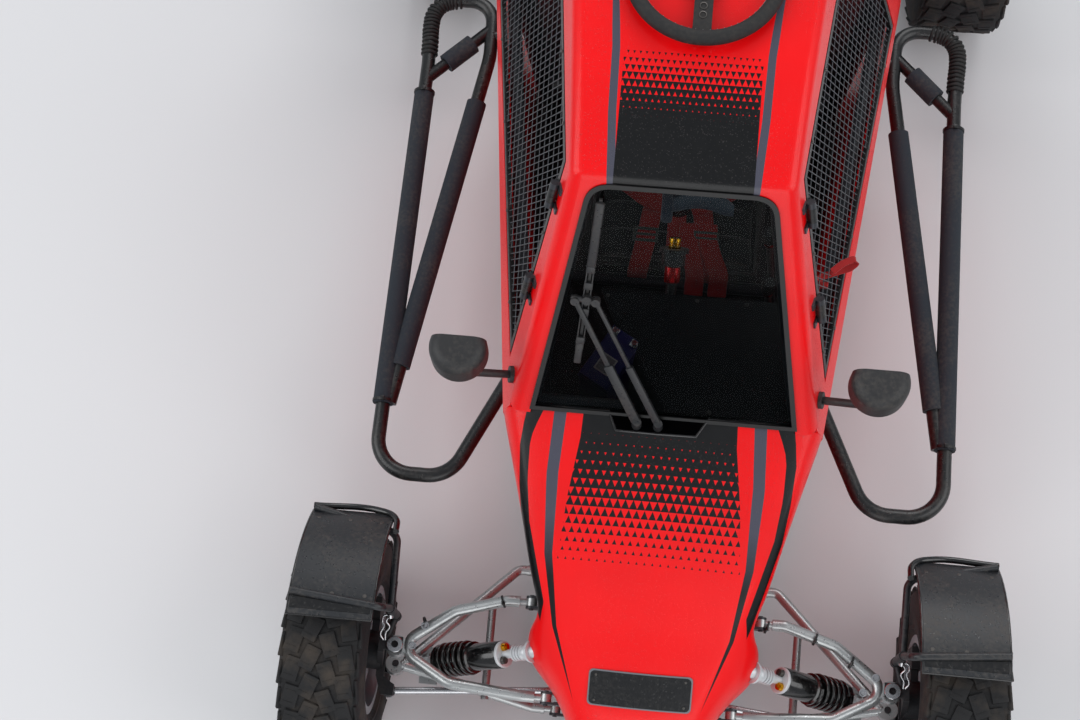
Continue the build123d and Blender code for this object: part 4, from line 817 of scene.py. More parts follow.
@dataclass
class Tyres(Assembly):
    """Block-tread tyres and the bolts on their rims."""

    rows: int = 26
    tread: float = 0.2484
    base: float = 0.232
    pivot: float = 0.24
    block: float = 0.0500
    groove: tuple[float, float, float] = (0.0009, -0.0010, 0.0007)
    lanes: tuple[tuple[float, float, float, float, float, float], ...] = (
        (0.235, 0.205, 0.38, 0.0, 0.0, 0.0),
        (0.680, 0.205, 0.24, 0.42, 0.0010, 0.0),
        (0.955, 0.050, 0.10, 0.62, 0.0065, 0.9),
    )
    wheels: tuple[tuple[str, Body, float, float, float], ...] = (
        ("front_right", Body.WHEEL_RIGHT, 0.655, FRONT_AXLE, 0.180),
        ("front_left", Body.WHEEL_LEFT, -0.655, FRONT_AXLE, 0.180),
        ("rear_right", Body.AXLE, 0.6375, REAR_AXLE, 0.215),
        ("rear_left", Body.AXLE, -0.6375, REAR_AXLE, 0.215),
    )
    nuts: tuple[tuple[float, ...], ...] = ((6, 0.053, 0.52, 0.027, 0.041, 0.0085), (1, 0.0, 0.0, 0.040, 0.058, 0.024))
    rim_bolts: int = 16
    rim_ring: float = 0.1335

    def carcass(self, shape: Shape, centre: Vector, width: float) -> None:
        """Spins the casing with its side ribs.

        Args:
            shape: The mesh that takes it.
            centre: Middle of the wheel.
            width: Overall width.
        """
        half = width / 2
        side = [(0.1278, half - 0.018), (0.140, half - 0.014), (0.150, half - 0.009), (0.152, half - 0.006),
                (0.160, half - 0.006), (0.162, half - 0.004), (0.186, half - 0.0005), (0.192, half - 0.0005),
                (0.196, half - 0.002), (0.214, half - 0.003), (0.228, half - 0.007), (0.2395, half - 0.016),
                (0.2430, half - 0.030)]
        profile = side + [(radius, -along) for radius, along in reversed(side)]
        shape.lathe(profile, centre, X_AXIS, 72)

    def blocks(self, shape: Shape, centre: Vector, width: float) -> None:
        """Sets the tread blocks round the casing in slanted, staggered rows."""
        lane = width / 2 - 0.010
        step = math.tau / self.rows
        wide, low, high = self.groove
        for row in range(self.rows):
            for side in (-1, 1):
                angle = row * step + (step / 2 if side > 0 else 0.0)
                for share, half, slant, shift, drop, fall in self.lanes:
                    turn = (Matrix.Translation(centre) @ Matrix.Rotation(angle + shift * step, 4, "X")
                            @ Matrix.Translation((side * lane * share, 0, self.pivot - drop))
                            @ Matrix.Rotation(side * slant, 4, "Z") @ Matrix.Rotation(side * fall, 4, "Y")
                            @ Matrix.Translation((0, 0, -self.pivot)))
                    shape.box((-lane * half, -self.block / 2, self.base), (lane * half, self.block / 2, self.tread),
                              0.0020, turn)
                    if fall:
                        continue
                    for cut in (-0.28, 0.28):
                        shape.box((-lane * half * 0.8, self.block * cut - wide, self.tread + low),
                                  (lane * half * 0.5, self.block * cut + wide, self.tread + high), 0.0, turn)

    def bolts(self, name: str, body: Body, centre: Vector, width: float) -> None:
        """Adds the wheel nuts, the centre nut and the rim's bolt ring."""
        shape = Shape()
        out = Vector((1 if centre.x > 0 else -1, 0, 0))
        edge = width / 2 - 0.014
        ring = (self.rim_bolts, self.rim_ring, 0.0, edge - 0.001, edge + 0.004, 0.0042)
        for count, reach, turn, start, end, radius in (*self.nuts, ring):
            for y, z in circle(count, reach, turn):
                spot = centre + Vector((0, y, z))
                shape.bar(spot + out * start, spot + out * end, radius, sides=6)
        self.add(shape, f"wheel_nuts_{name}", "steel_bright", "steel", body=body)

    def build(self) -> None:
        """Builds all four."""
        for name, body, x, y, width in self.wheels:
            centre = Vector((x, y, HUB_HEIGHT))
            shape = Shape()
            self.carcass(shape, centre, width)
            self.blocks(shape, centre, width)
            self.add(shape, f"tread_{name}", "tyre_rubber", "tyre_rubber", [f"tyre_{name}"], body=body)
            self.bolts(name, body, centre, width)


@dataclass
class CoilOvers(Assembly):
    """The four dampers with their springs and end caps."""

    units: tuple[tuple[str, Point, Point], ...] = (
        ("front", (0.204, -0.926, 0.455), (0.462, -0.944, 0.236)),
        ("rear", (0.265, 0.876, 0.590), (0.455, 0.883, 0.190)),
    )
    coil: float = 0.0325
    wire: float = 0.0046
    flange: float = 0.1125
    eye: tuple[float, float] = (0.0135, 0.009)
    rod: float = 0.0080
    first_coil: float = 0.203
    last_coil: float = 0.054
    turn_steps: int = 12
    windings: tuple[int, int] = (5, 9)
    short_unit: float = 0.4

    def spring(self, head: Vector, along: Vector, length: float, windings: int) -> Shape:
        """Winds one coil spring.

        Args:
            head: Upper eye.
            along: Direction to the lower eye.
            length: Distance between the eyes.
            windings: Working turns.

        Returns:
            The spring's shape.
        """
        side = along.cross(Vector(Y_AXIS)).normalized()
        other = along.cross(side)
        points = []
        first, last, count = self.first_coil, length - self.last_coil, windings * self.turn_steps
        for index in range(count + 1):
            angle = math.tau * index / self.turn_steps
            rise = first + (last - first) * index / count
            points.append(head + along * rise + (side * math.cos(angle) + other * math.sin(angle)) * self.coil)
        return Shape().sweep(points, self.wire)

    def unit(self, name: str, head: Vector, foot: Vector, gold_side: int) -> None:
        """Builds one damper with its spring.

        Args:
            name: Which corner it is.
            head: Upper eye.
            foot: Lower eye.
            gold_side: 1 where the gold knob is towards the tail.
        """
        along = (foot - head).normalized()
        length = (foot - head).length
        across = Vector(Y_AXIS) * gold_side
        black = Shape()
        tube_end = length * 0.72
        black.lathe([(0.0, self.flange), (0.0270, self.flange), (0.0290, 0.116), (0.0290, 0.192), (0.0335, 0.194),
                     (0.0335, 0.199), (0.0225, 0.201), (0.0225, tube_end), (0.0195, tube_end + 0.004),
                     (0.0, tube_end + 0.004)], head, along, 36, closed=False)
        black.lathe([(0.009, length - 0.052), (0.0335, length - 0.052), (0.0345, length - 0.049),
                     (0.0345, length - 0.043), (0.020, length - 0.037), (0.009, length - 0.037)], head, along, 36)
        self.add(black, f"damper_body_{name}", "black_gloss", "black_paint", ["dampers"])
        bright = Shape()
        ribs = [(0.0, 0.012), (0.010, 0.012), (0.013, 0.020), (0.013, 0.040), (0.0150, 0.043), (0.0150, 0.048)]
        for index in range(4):
            at = 0.050 + index * 0.0076
            ribs += [(0.0168, at), (0.0168, at + 0.0040), (0.0142, at + 0.0048), (0.0142, at + 0.0070)]
        ribs += [(0.0095, 0.082), (0.0095, 0.1065), (0.0255, 0.1070), (0.0278, 0.1090), (0.0278, self.flange),
                 (0.0, self.flange)]
        bright.lathe(ribs, head, along, 36, closed=False)
        bright.lathe([(0.0135, 0.028), (0.0225, 0.028), (0.0225, 0.034), (0.0135, 0.034)], head, along, 32)
        radius, half = self.eye
        for end in (head, foot):
            bright.bar(end - Vector((0, half, 0)), end + Vector((0, half, 0)), radius)
        bright.bar(foot - along * 0.038, foot - along * 0.010, 0.0125)
        self.add(bright, f"damper_head_{name}", "cap_silver", "cast_metal")
        rod = Shape().bar(head + along * (length * 0.60), foot - along * 0.030, self.rod)
        self.add(rod, f"damper_rod_{name}", "steel_bright", "steel")
        self.knobs(name, head, along, across)
        coil = self.spring(head, along, length, self.windings[length >= self.short_unit])
        self.add(coil, f"spring_{name}", "black_gloss", "spring_steel", ["springs"], 60.0)

    def knobs(self, name: str, head: Vector, along: Vector, across: Vector) -> None:
        """Adds the gold knob and the valve on the head's lower flange.

        Args:
            name: Which corner it is.
            head: Upper eye.
            along: Direction to the lower eye.
            across: Which way the gold knob lies.
        """
        face = head + along * (self.flange - 0.0050)
        side = along.cross(across).normalized()
        if side.z < 0:
            side = -side
        for label, lean, radius, finish in (("knob", 1, 0.0088, "gold"), ("valve", -1, 0.0082, "steel_dark")):
            knob = Shape()
            base = face + across * (0.0140 * lean) + side * 0.006
            knob.bar(base, base - along * 0.0100, radius, radius * 0.92)
            knob.bar(base - along * 0.0100, base - along * 0.0125, radius * 0.55, sides=6)
            self.add(knob, f"damper_{label}_{name}", finish, "steel")

    def build(self) -> None:
        """Builds both ends and sides."""
        for end, head, foot in self.units:
            for side, sign in (("right", 1), ("left", -1)):
                turn = Vector((sign, 1, 1))
                self.unit(f"{end}_{side}", Vector(head) * turn, Vector(foot) * turn, -sign)


@dataclass
class MeshDoors(Assembly):
    """Welded wire in the doors."""

    pitches: tuple[float, float] = (0.0130, 0.0400)
    lean: float = 0.326
    wire: float = 0.0010
    origin: Point = (0.29905, 0.0, 0.9)
    face: Point = (0.5587, 0.109, -0.2885)
    corners: tuple[tuple[float, float], ...] = ((-0.1386, 1.138), (-0.372, 0.7055), (0.462, 0.6264), (0.462, 1.138))
    inset: float = 0.007
    shortest: float = 0.01
    rivets: tuple[float, ...] = (0.12, 0.37, 0.63, 0.88)
    rivet_inset: float = 0.009

    def axes(self) -> tuple[Vector, Vector, Vector, Vector]:
        """Origin, along, up and outward directions of the door's plane."""
        _, by_y, by_z = self.face
        along, out = Vector((by_y, 1.0, 0.0)).normalized(), Vector((1.0, -by_y, -by_z)).normalized()
        return Vector(self.origin), along, out.cross(along).normalized(), out

    def spot(self, flat: Vector, side: int, depth: float) -> Vector:
        """A point at a depth outside the door's plane, on either side of the car."""
        origin, along, up, out = self.axes()
        point = origin + along * flat.x + up * flat.y + out * depth
        return Vector((point.x * side, point.y, point.z))

    def outline(self) -> list[Vector]:
        """The door's corners in its own plane."""
        origin, along, up, _ = self.axes()
        flat = []
        for y, z in self.corners:
            point = Vector((self.face[0] + self.face[1] * y + self.face[2] * z, y, z)) - origin
            flat.append(Vector((point.dot(along), point.dot(up))))
        return flat

    def span(self, flat: list[Vector], start: Vector, step: Vector) -> tuple[float, float]:
        """How far a straight wire runs inside the outline.

        Args:
            flat: Corners of the outline.
            start: A point of the wire's line.
            step: Its direction.

        Returns:
            Both ends along the direction; the first is larger when it misses.
        """
        low, high = -5.0, 5.0
        middle = sum(flat, Vector((0, 0))) / len(flat)
        for first, second in zip(flat, flat[1:] + flat[:1]):
            edge = (second - first).normalized()
            inward = Vector((-edge.y, edge.x))
            if (middle - first).dot(inward) < 0:
                inward = -inward
            room = (start - first).dot(inward) - self.inset
            slope = step.dot(inward)
            if abs(slope) < 1e-6:
                if room < 0:
                    return 1.0, 0.0
            elif slope > 0:
                low = max(low, -room / slope)
            else:
                high = min(high, -room / slope)
        return low, high

    def panel(self, side: int) -> Shape:
        """Wires of one door."""
        flat = self.outline()
        shape = Shape()
        cross, length = Vector((-self.lean, 1)).normalized(), Vector((1, self.lean)).normalized()
        for step, other, depth, pitch in ((cross, length, -0.0040, self.pitches[0]),
                                          (length, cross, -0.0059, self.pitches[1])):
            reach = [corner.dot(other) for corner in flat]
            for index in range(int((max(reach) - min(reach)) / pitch) + 1):
                start = other * (min(reach) + pitch * (index + 0.5))
                low, high = self.span(flat, start, step)
                if high - low > self.shortest:
                    shape.bar(self.spot(start + step * low, side, depth), self.spot(start + step * high, side, depth),
                              self.wire, sides=6)
        return shape

    def build(self) -> None:
        """Builds both doors' wire and rivets."""
        flat = self.outline()
        middle = sum(flat, Vector((0, 0))) / len(flat)
        for name, side, body in (("right", 1, Body.DOOR_RIGHT), ("left", -1, Body.DOOR_LEFT)):
            self.add(self.panel(side), f"welded_wire_{name}", "wire_zinc", "mesh_zinc", [f"door_mesh_{name}"],
                     body=body)
            rivets = Shape()
            for first, second in zip(flat, flat[1:] + flat[:1]):
                for share in self.rivets:
                    place = first.lerp(second, share)
                    place = place + (middle - place).normalized() * self.rivet_inset
                    rivets.bar(self.spot(place, side, -0.001), self.spot(place, side, 0.0022), 0.0042, 0.0034,
                               sides=12)
            self.add(rivets, f"door_rivets_{name}", "steel_dark", "steel", body=body)


@dataclass
class NoseSkin(Assembly):
    """Smooth nose with the swellings over the damper mounts, its badge plate and cowl lip."""

    sections: tuple[tuple[float, ...], ...] = (
        (-1.2120, 0.034, 0.332, 0.003, 0.050, 0.300, 0.044, 0.246, 0.240),
        (-1.2050, 0.064, 0.364, 0.008, 0.088, 0.320, 0.078, 0.236, 0.214),
        (-1.1600, 0.084, 0.403, 0.010, 0.106, 0.346, 0.098, 0.185, 0.164),
        (-1.1100, 0.101, 0.434, 0.012, 0.124, 0.368, 0.112, 0.138, 0.118),
        (-1.0520, 0.124, 0.462, 0.014, 0.147, 0.388, 0.130, 0.122, 0.104),
        (-1.0100, 0.140, 0.479, 0.014, 0.173, 0.400, 0.148, 0.118, 0.098),
        (-0.9850, 0.150, 0.488, 0.015, 0.191, 0.404, 0.160, 0.116, 0.096),
        (-0.9450, 0.167, 0.503, 0.016, 0.233, 0.410, 0.178, 0.115, 0.095),
        (-0.9050, 0.184, 0.518, 0.016, 0.241, 0.420, 0.195, 0.114, 0.095),
        (-0.8780, 0.196, 0.529, 0.016, 0.237, 0.434, 0.206, 0.114, 0.095),
        (-0.8540, 0.205, 0.539, 0.017, 0.2155, 0.452, 0.212, 0.114, 0.095),
        (-0.8200, 0.219, 0.554, 0.017, 0.226, 0.474, 0.220, 0.114, 0.095),
        (-0.7800, 0.233, 0.572, 0.018, 0.2395, 0.500, 0.229, 0.114, 0.094),
        (-0.7000, 0.251, 0.608, 0.018, 0.2600, 0.535, 0.246, 0.114, 0.094),
        (-0.6000, 0.269, 0.651, 0.017, 0.2880, 0.586, 0.267, 0.114, 0.094),
        (-0.5300, 0.280, 0.681, 0.016, 0.3080, 0.616, 0.281, 0.114, 0.094),
        (-0.4950, 0.285, 0.697, 0.016, 0.3180, 0.633, 0.288, 0.114, 0.094),
        (-0.4790, 0.287, 0.703, 0.016, 0.3215, 0.641, 0.291, 0.114, 0.094),
    )
    wall: float = 0.004
    plate_half: tuple[float, float] = (0.1015, 0.034)
    plate_bow: float = 0.62
    plate_spot: Point = (0.0, -0.995, 0.4995)
    plate_tilt: float = 0.372
    plate_corner: float = 0.009
    plate_cuts: tuple[float, ...] = (0.0, -0.075, -0.05, -0.025, 0.025, 0.05, 0.075)
    stud: tuple[float, float] = (0.090, 0.026)
    lip: tuple[Point, ...] = (
        (-0.286, -0.4795, 0.7030), (-0.180, -0.4800, 0.7130), (-0.106, -0.4805, 0.7180), (-0.0905, -0.5150, 0.7055),
        (-0.010, -0.5160, 0.7070), (0.0680, -0.5150, 0.7060), (0.090, -0.4805, 0.7180), (0.180, -0.4800, 0.7130),
        (0.286, -0.4795, 0.7030))
    notch: tuple[Point, ...] = (
        (-0.105, -0.4780, 0.7200), (-0.0895, -0.5145, 0.7062), (0.0670, -0.5145, 0.7062), (0.089, -0.4780, 0.7200))

    def rows(self) -> list[list[Vector]]:
        """Each section's points from the left floor edge over the top to the right one."""
        rows = []
        for y, top, top_z, crown, side, side_z, floor, low_z, floor_z in self.sections:
            half = [
                (top * 0.42, top_z + crown * 0.84),
                (top * 0.80, top_z + crown * 0.40),
                (top * 0.985, top_z + 0.001),
                (top + (side - top) * 0.62 + 0.005, top_z - (top_z - side_z) * 0.32),
                (side, side_z + (top_z - side_z) * 0.12),
                (side - 0.001, side_z - (side_z - floor_z) * 0.16),
                (floor + (side - floor) * 0.45, floor_z + (side_z - floor_z) * 0.42),
                (floor, low_z),
                (floor - 0.002, floor_z),
            ]
            right = [Vector((x, y, z)) for x, z in half]
            left = [Vector((-x, y, z)) for x, z in reversed(half)]
            rows.append(left + [Vector((0.0, y, top_z + crown))] + right)
        return rows

    def skin(self) -> None:
        """Builds the nose."""
        shape = Shape().grid(self.rows())
        front = [edge for edge in shape.bm.edges
                 if edge.is_boundary and all(vert.co.y < self.sections[0][0] + 0.001 for vert in edge.verts)]
        bmesh.ops.contextual_create(shape.bm, geom=front)
        nose = self.add(shape, "nose_skin", "red_bonnet", "red_body", ["nose_panel"], 80.0, 2)
        wall = nose.modifiers.new("wall", "SOLIDIFY")
        wall.thickness = self.wall
        wall.offset = -1.0

    def badge(self) -> None:
        """Adds the blank plate on the bonnet's front."""
        across, along = self.plate_half
        place = Matrix.Translation(self.plate_spot) @ Matrix.Rotation(self.plate_tilt, 4, "X")
        corners = [(-across, -along), (across, -along), (across, along), (-across, along)]
        for name, grow, rise, finish in (("badge_plate", 0.0, 0.0035, "black_gloss"),
                                         ("badge_edge", 0.003, 0.0028, "plate_edge")):
            shape = Shape()
            verts = [shape.bm.verts.new((x * (1 + grow / across), y * (1 + grow / along), 0.0)) for x, y in corners]
            shape.bm.faces.new(verts)
            bmesh.ops.bevel(shape.bm, geom=verts, offset=self.plate_corner, offset_type="OFFSET", segments=4,
                            profile=0.5, affect="VERTICES", material=-1)
            for cut in self.plate_cuts:
                bmesh.ops.bisect_plane(shape.bm, geom=shape.bm.faces[:] + shape.bm.edges[:] + shape.bm.verts[:],
                                       plane_co=(cut, 0, 0), plane_no=X_AXIS)
            shape.thicken((0, 0, rise))
            for vert in shape.bm.verts:
                vert.co.z -= self.plate_bow * vert.co.x ** 2
            bmesh.ops.transform(shape.bm, matrix=place, verts=shape.bm.verts[:])
            self.add(shape, name, finish, "black_plastic")
        studs = Shape()
        up = place.to_3x3() @ Vector(Z_AXIS)
        for x in (-self.stud[0], self.stud[0]):
            for y in (-self.stud[1], self.stud[1]):
                spot = place @ Vector((x, y, -self.plate_bow * x * x))
                studs.bar(spot, spot + up * 0.0052, 0.0032, 0.0024, sides=12)
        self.add(studs, "badge_studs", "steel_dark", "steel")

    def cowl(self) -> None:
        """Adds the rubber lip with its notch for the wiper, and a matt near-black plate under the notch: painted shade
        that stands for the dark opening there.
        """
        self.add(Shape().sweep(self.lip, 0.0038, smooth=False), "cowl_lip", "black_gloss", "black_plastic")
        # The plate in the notch is painted shade: it stands for the dark opening under the lip.
        notch_shade = Shape().plate(self.notch, (0, 0, 0.0012))
        self.add(notch_shade, "cowl_notch_shade", "painted_shade_black", "black_plastic")

    def build(self) -> None:
        """Builds skin, plate and lip."""
        self.skin()
        self.badge()
        self.cowl()


@dataclass
class Windscreen(Assembly):
    """Rubber seal round the windscreen, the wiper, the inside mirror and the quick release."""

    foot: Point = (0.0, -0.482, 0.720)
    rake: float = 0.665
    foot_half: float = 0.259
    top_half: float = 0.166
    top_z: float = 1.160
    corner: float = 0.040
    arms: tuple[tuple[float, float, float], ...] = ((-0.050, -0.1820, 0.0095), (-0.008, -0.1430, 0.0075))
    arm_foot: tuple[float, float] = (-0.502, 0.728)
    arm_head: float = 0.953
    blade: tuple[tuple[float, float], ...] = ((-0.1735, 0.822), (-0.1440, 1.138))
    blade_lift: float = 0.010
    release: Point = (-0.004, -0.156, 0.700)
    column_foot: Point = (-0.004, -0.948, 0.247)
    section: tuple[tuple[float, float], ...] = ((0.0035, 0.0008), (0.0035, 0.0038), (-0.006, 0.0038), (-0.006, 0.0008))

    def on_screen(self, x: float, z: float, out: float) -> Vector:
        """A point a little way off the glass."""
        return Vector((x, self.foot[1] + self.rake * (z - self.foot[2]), z)) + self.normal() * out

    def normal(self) -> Vector:
        """The way out of the glass."""
        return Vector((0, -1, self.rake)).normalized()

    def run_up(self, low: Vector, high: Vector) -> tuple[Matrix, float]:
        """Where a strip's own Z runs from one point to another and its Y out of the glass, and its length."""
        run = (high - low).normalized()
        normal = self.normal()
        normal = (normal - run * normal.dot(run)).normalized()
        turn = Matrix((run.cross(normal), normal, run)).transposed().to_4x4()
        return Matrix.Translation(low) @ turn, (high - low).length

    def seal(self) -> None:
        """Adds the rubber frame with its rounded upper corners."""
        slope = math.sqrt(1 + self.rake ** 2)
        spread = (self.foot_half - self.top_half) / (self.top_z - self.foot[2])
        low = Vector((self.foot_half + spread * 0.004, -0.004 * slope))
        top = Vector((self.top_half, (self.top_z - self.foot[2]) * slope))
        right = [low]
        start, stop = top + (low - top).normalized() * self.corner, top - Vector((self.corner, 0))
        for index in range(9):
            share = index / 8
            right.append(start * (1 - share) ** 2 + top * 2 * share * (1 - share) + stop * share ** 2)
        loop = right + [Vector((-point.x, point.y)) for point in reversed(right)]
        shape = Shape()
        rings = []
        for offset, out in self.section:
            ring = []
            for index, point in enumerate(loop):
                before = (point - loop[index - 1]).normalized()
                after = (loop[(index + 1) % len(loop)] - point).normalized()
                first, second = Vector((before.y, -before.x)), Vector((after.y, -after.x))
                spot = point + (first + second) * (offset / (1 + first.dot(second)))
                ring.append(shape.bm.verts.new(self.on_screen(spot.x, self.foot[2] + spot.y / slope, out)))
            rings.append(ring)
        for number, ring in enumerate(rings):
            other = rings[(number + 1) % len(rings)]
            for index in range(len(loop)):
                near = (index + 1) % len(loop)
                shape.bm.faces.new((ring[index], ring[near], other[near], other[index]))
        self.add(shape, "screen_seal", "seal_black", "black_plastic", angle=30.0)

    def wiper(self) -> None:
        """Adds the two-arm wiper with its blade."""
        arms = Shape()
        for foot_x, head_x, width in self.arms:
            foot, head = Vector((foot_x, *self.arm_foot)), self.on_screen(head_x, self.arm_head, 0.016)
            place, length = self.run_up(foot, head)
            normal = place.to_3x3() @ Vector(Y_AXIS)
            arms.box((-width, -0.0045, -0.004), (width, 0.0055, length * 0.48), 0.0025, place)
            arms.box((-width * 0.55, -0.0030, length * 0.44), (width * 0.55, 0.0030, length + 0.006), 0.0015, place)
            arms.bar(foot - Vector((0, 0, 0.026)), foot + Vector((0, -0.002, 0.010)), 0.0105, 0.0085)
            arms.bar(head - normal * 0.007, head + normal * 0.007, 0.0085)
        arms.bar(self.on_screen(-0.190, 0.957, 0.015), self.on_screen(-0.135, 0.952, 0.015), 0.0058, sides=12)
        arms.bar(self.on_screen(-0.160, 0.955, 0.006), self.on_screen(-0.160, 0.955, 0.021), 0.0095)
        self.add(arms, "wiper_arms", "wiper_grey", "black_plastic", ["wiper"])
        blade = Shape()
        place, length = self.run_up(*(self.on_screen(x, z, self.blade_lift) for x, z in self.blade))
        blade.box((-0.0032, -0.0085, 0.0), (0.0032, -0.0015, length), 0.0010, place)
        blade.box((-0.0085, -0.0030, length * 0.62), (0.0085, 0.0070, length - 0.004), 0.0035, place)
        blade.box((-0.0070, -0.0030, 0.004), (0.0070, 0.0050, length * 0.14), 0.0025, place)
        for side in (-1, 1):
            blade.box((side * 0.0062 - 0.0014, -0.0020, length * 0.10),
                      (side * 0.0062 + 0.0014, 0.0042, length * 0.66), 0.0008, place)
        for share in (0.16, 0.34, 0.50, 0.60):
            blade.box((-0.0085, -0.0030, length * share - 0.008), (0.0085, 0.0058, length * share + 0.008), 0.002,
                      place)
        self.add(blade, "wiper_blade", "wiper_grey", "black_plastic")

    def inside(self) -> None:
        """Adds the inside mirror and the column's quick release."""
        shell = Shape()
        rows = []
        for index in range(13):
            share = index / 12
            x = -0.026 + 0.125 * share
            bow = 0.030 * math.sin(math.pi * share)
            end = min(1.0, 4.0 * min(share + 0.10, 1.10 - share)) ** 0.5
            y = -0.150 + bow * 0.6
            rows.append([Vector((x, y + 0.014 * end * math.cos(turn), 0.992 + 0.029 * end * math.sin(turn)))
                         for turn in [math.tau * step / 16 for step in range(17)]])
        shell.grid(rows)
        shell.bm.verts.ensure_lookup_table()
        bmesh.ops.remove_doubles(shell.bm, verts=shell.bm.verts[:], dist=1e-5)
        bmesh.ops.holes_fill(shell.bm, edges=[edge for edge in shell.bm.edges if edge.is_boundary], sides=0)
        shell.box((-0.036, -0.176, 0.966), (-0.014, -0.128, 1.018), 0.006)
        self.add(shell, "inside_mirror", "mirror_case", "black_plastic")
        stem = Shape().sweep([(0.072, -0.134, 1.016), (0.074, -0.134, 1.060), (0.074, -0.138, 1.110),
                              (0.074, -0.146, 1.145)], 0.006)
        self.add(stem, "inside_mirror_stem", "steel_bright", "steel")
        pane = Shape().box((-0.012, -0.1235, 0.970), (0.085, -0.1205, 1.014), 0.001)
        self.add(pane, "inside_mirror_pane", "mirror_face", "screen")
        top = Vector(self.release)
        axis = (top - Vector(self.column_foot)).normalized()
        gold = Shape().lathe([(0.0, 0.034), (0.0125, 0.034), (0.0135, 0.036), (0.0135, 0.042), (0.0115, 0.043),
                              (0.0115, 0.046), (0.0135, 0.047), (0.0135, 0.054), (0.0120, 0.056), (0.0, 0.056)],
                             top, axis, 40, closed=False)
        self.add(gold, "quick_release_ring", "gold", "steel", body=Body.COLUMN)
        sleeve = Shape().lathe(collar(0.0115, 0.0150, 0.0160, -0.036, -0.004), top, axis, 36)
        self.add(sleeve, "quick_release_collar", "red_anodised", "steel", body=Body.COLUMN)

    def build(self) -> None:
        """Builds everything at the windscreen."""
        self.seal()
        self.wiper()
        self.inside()


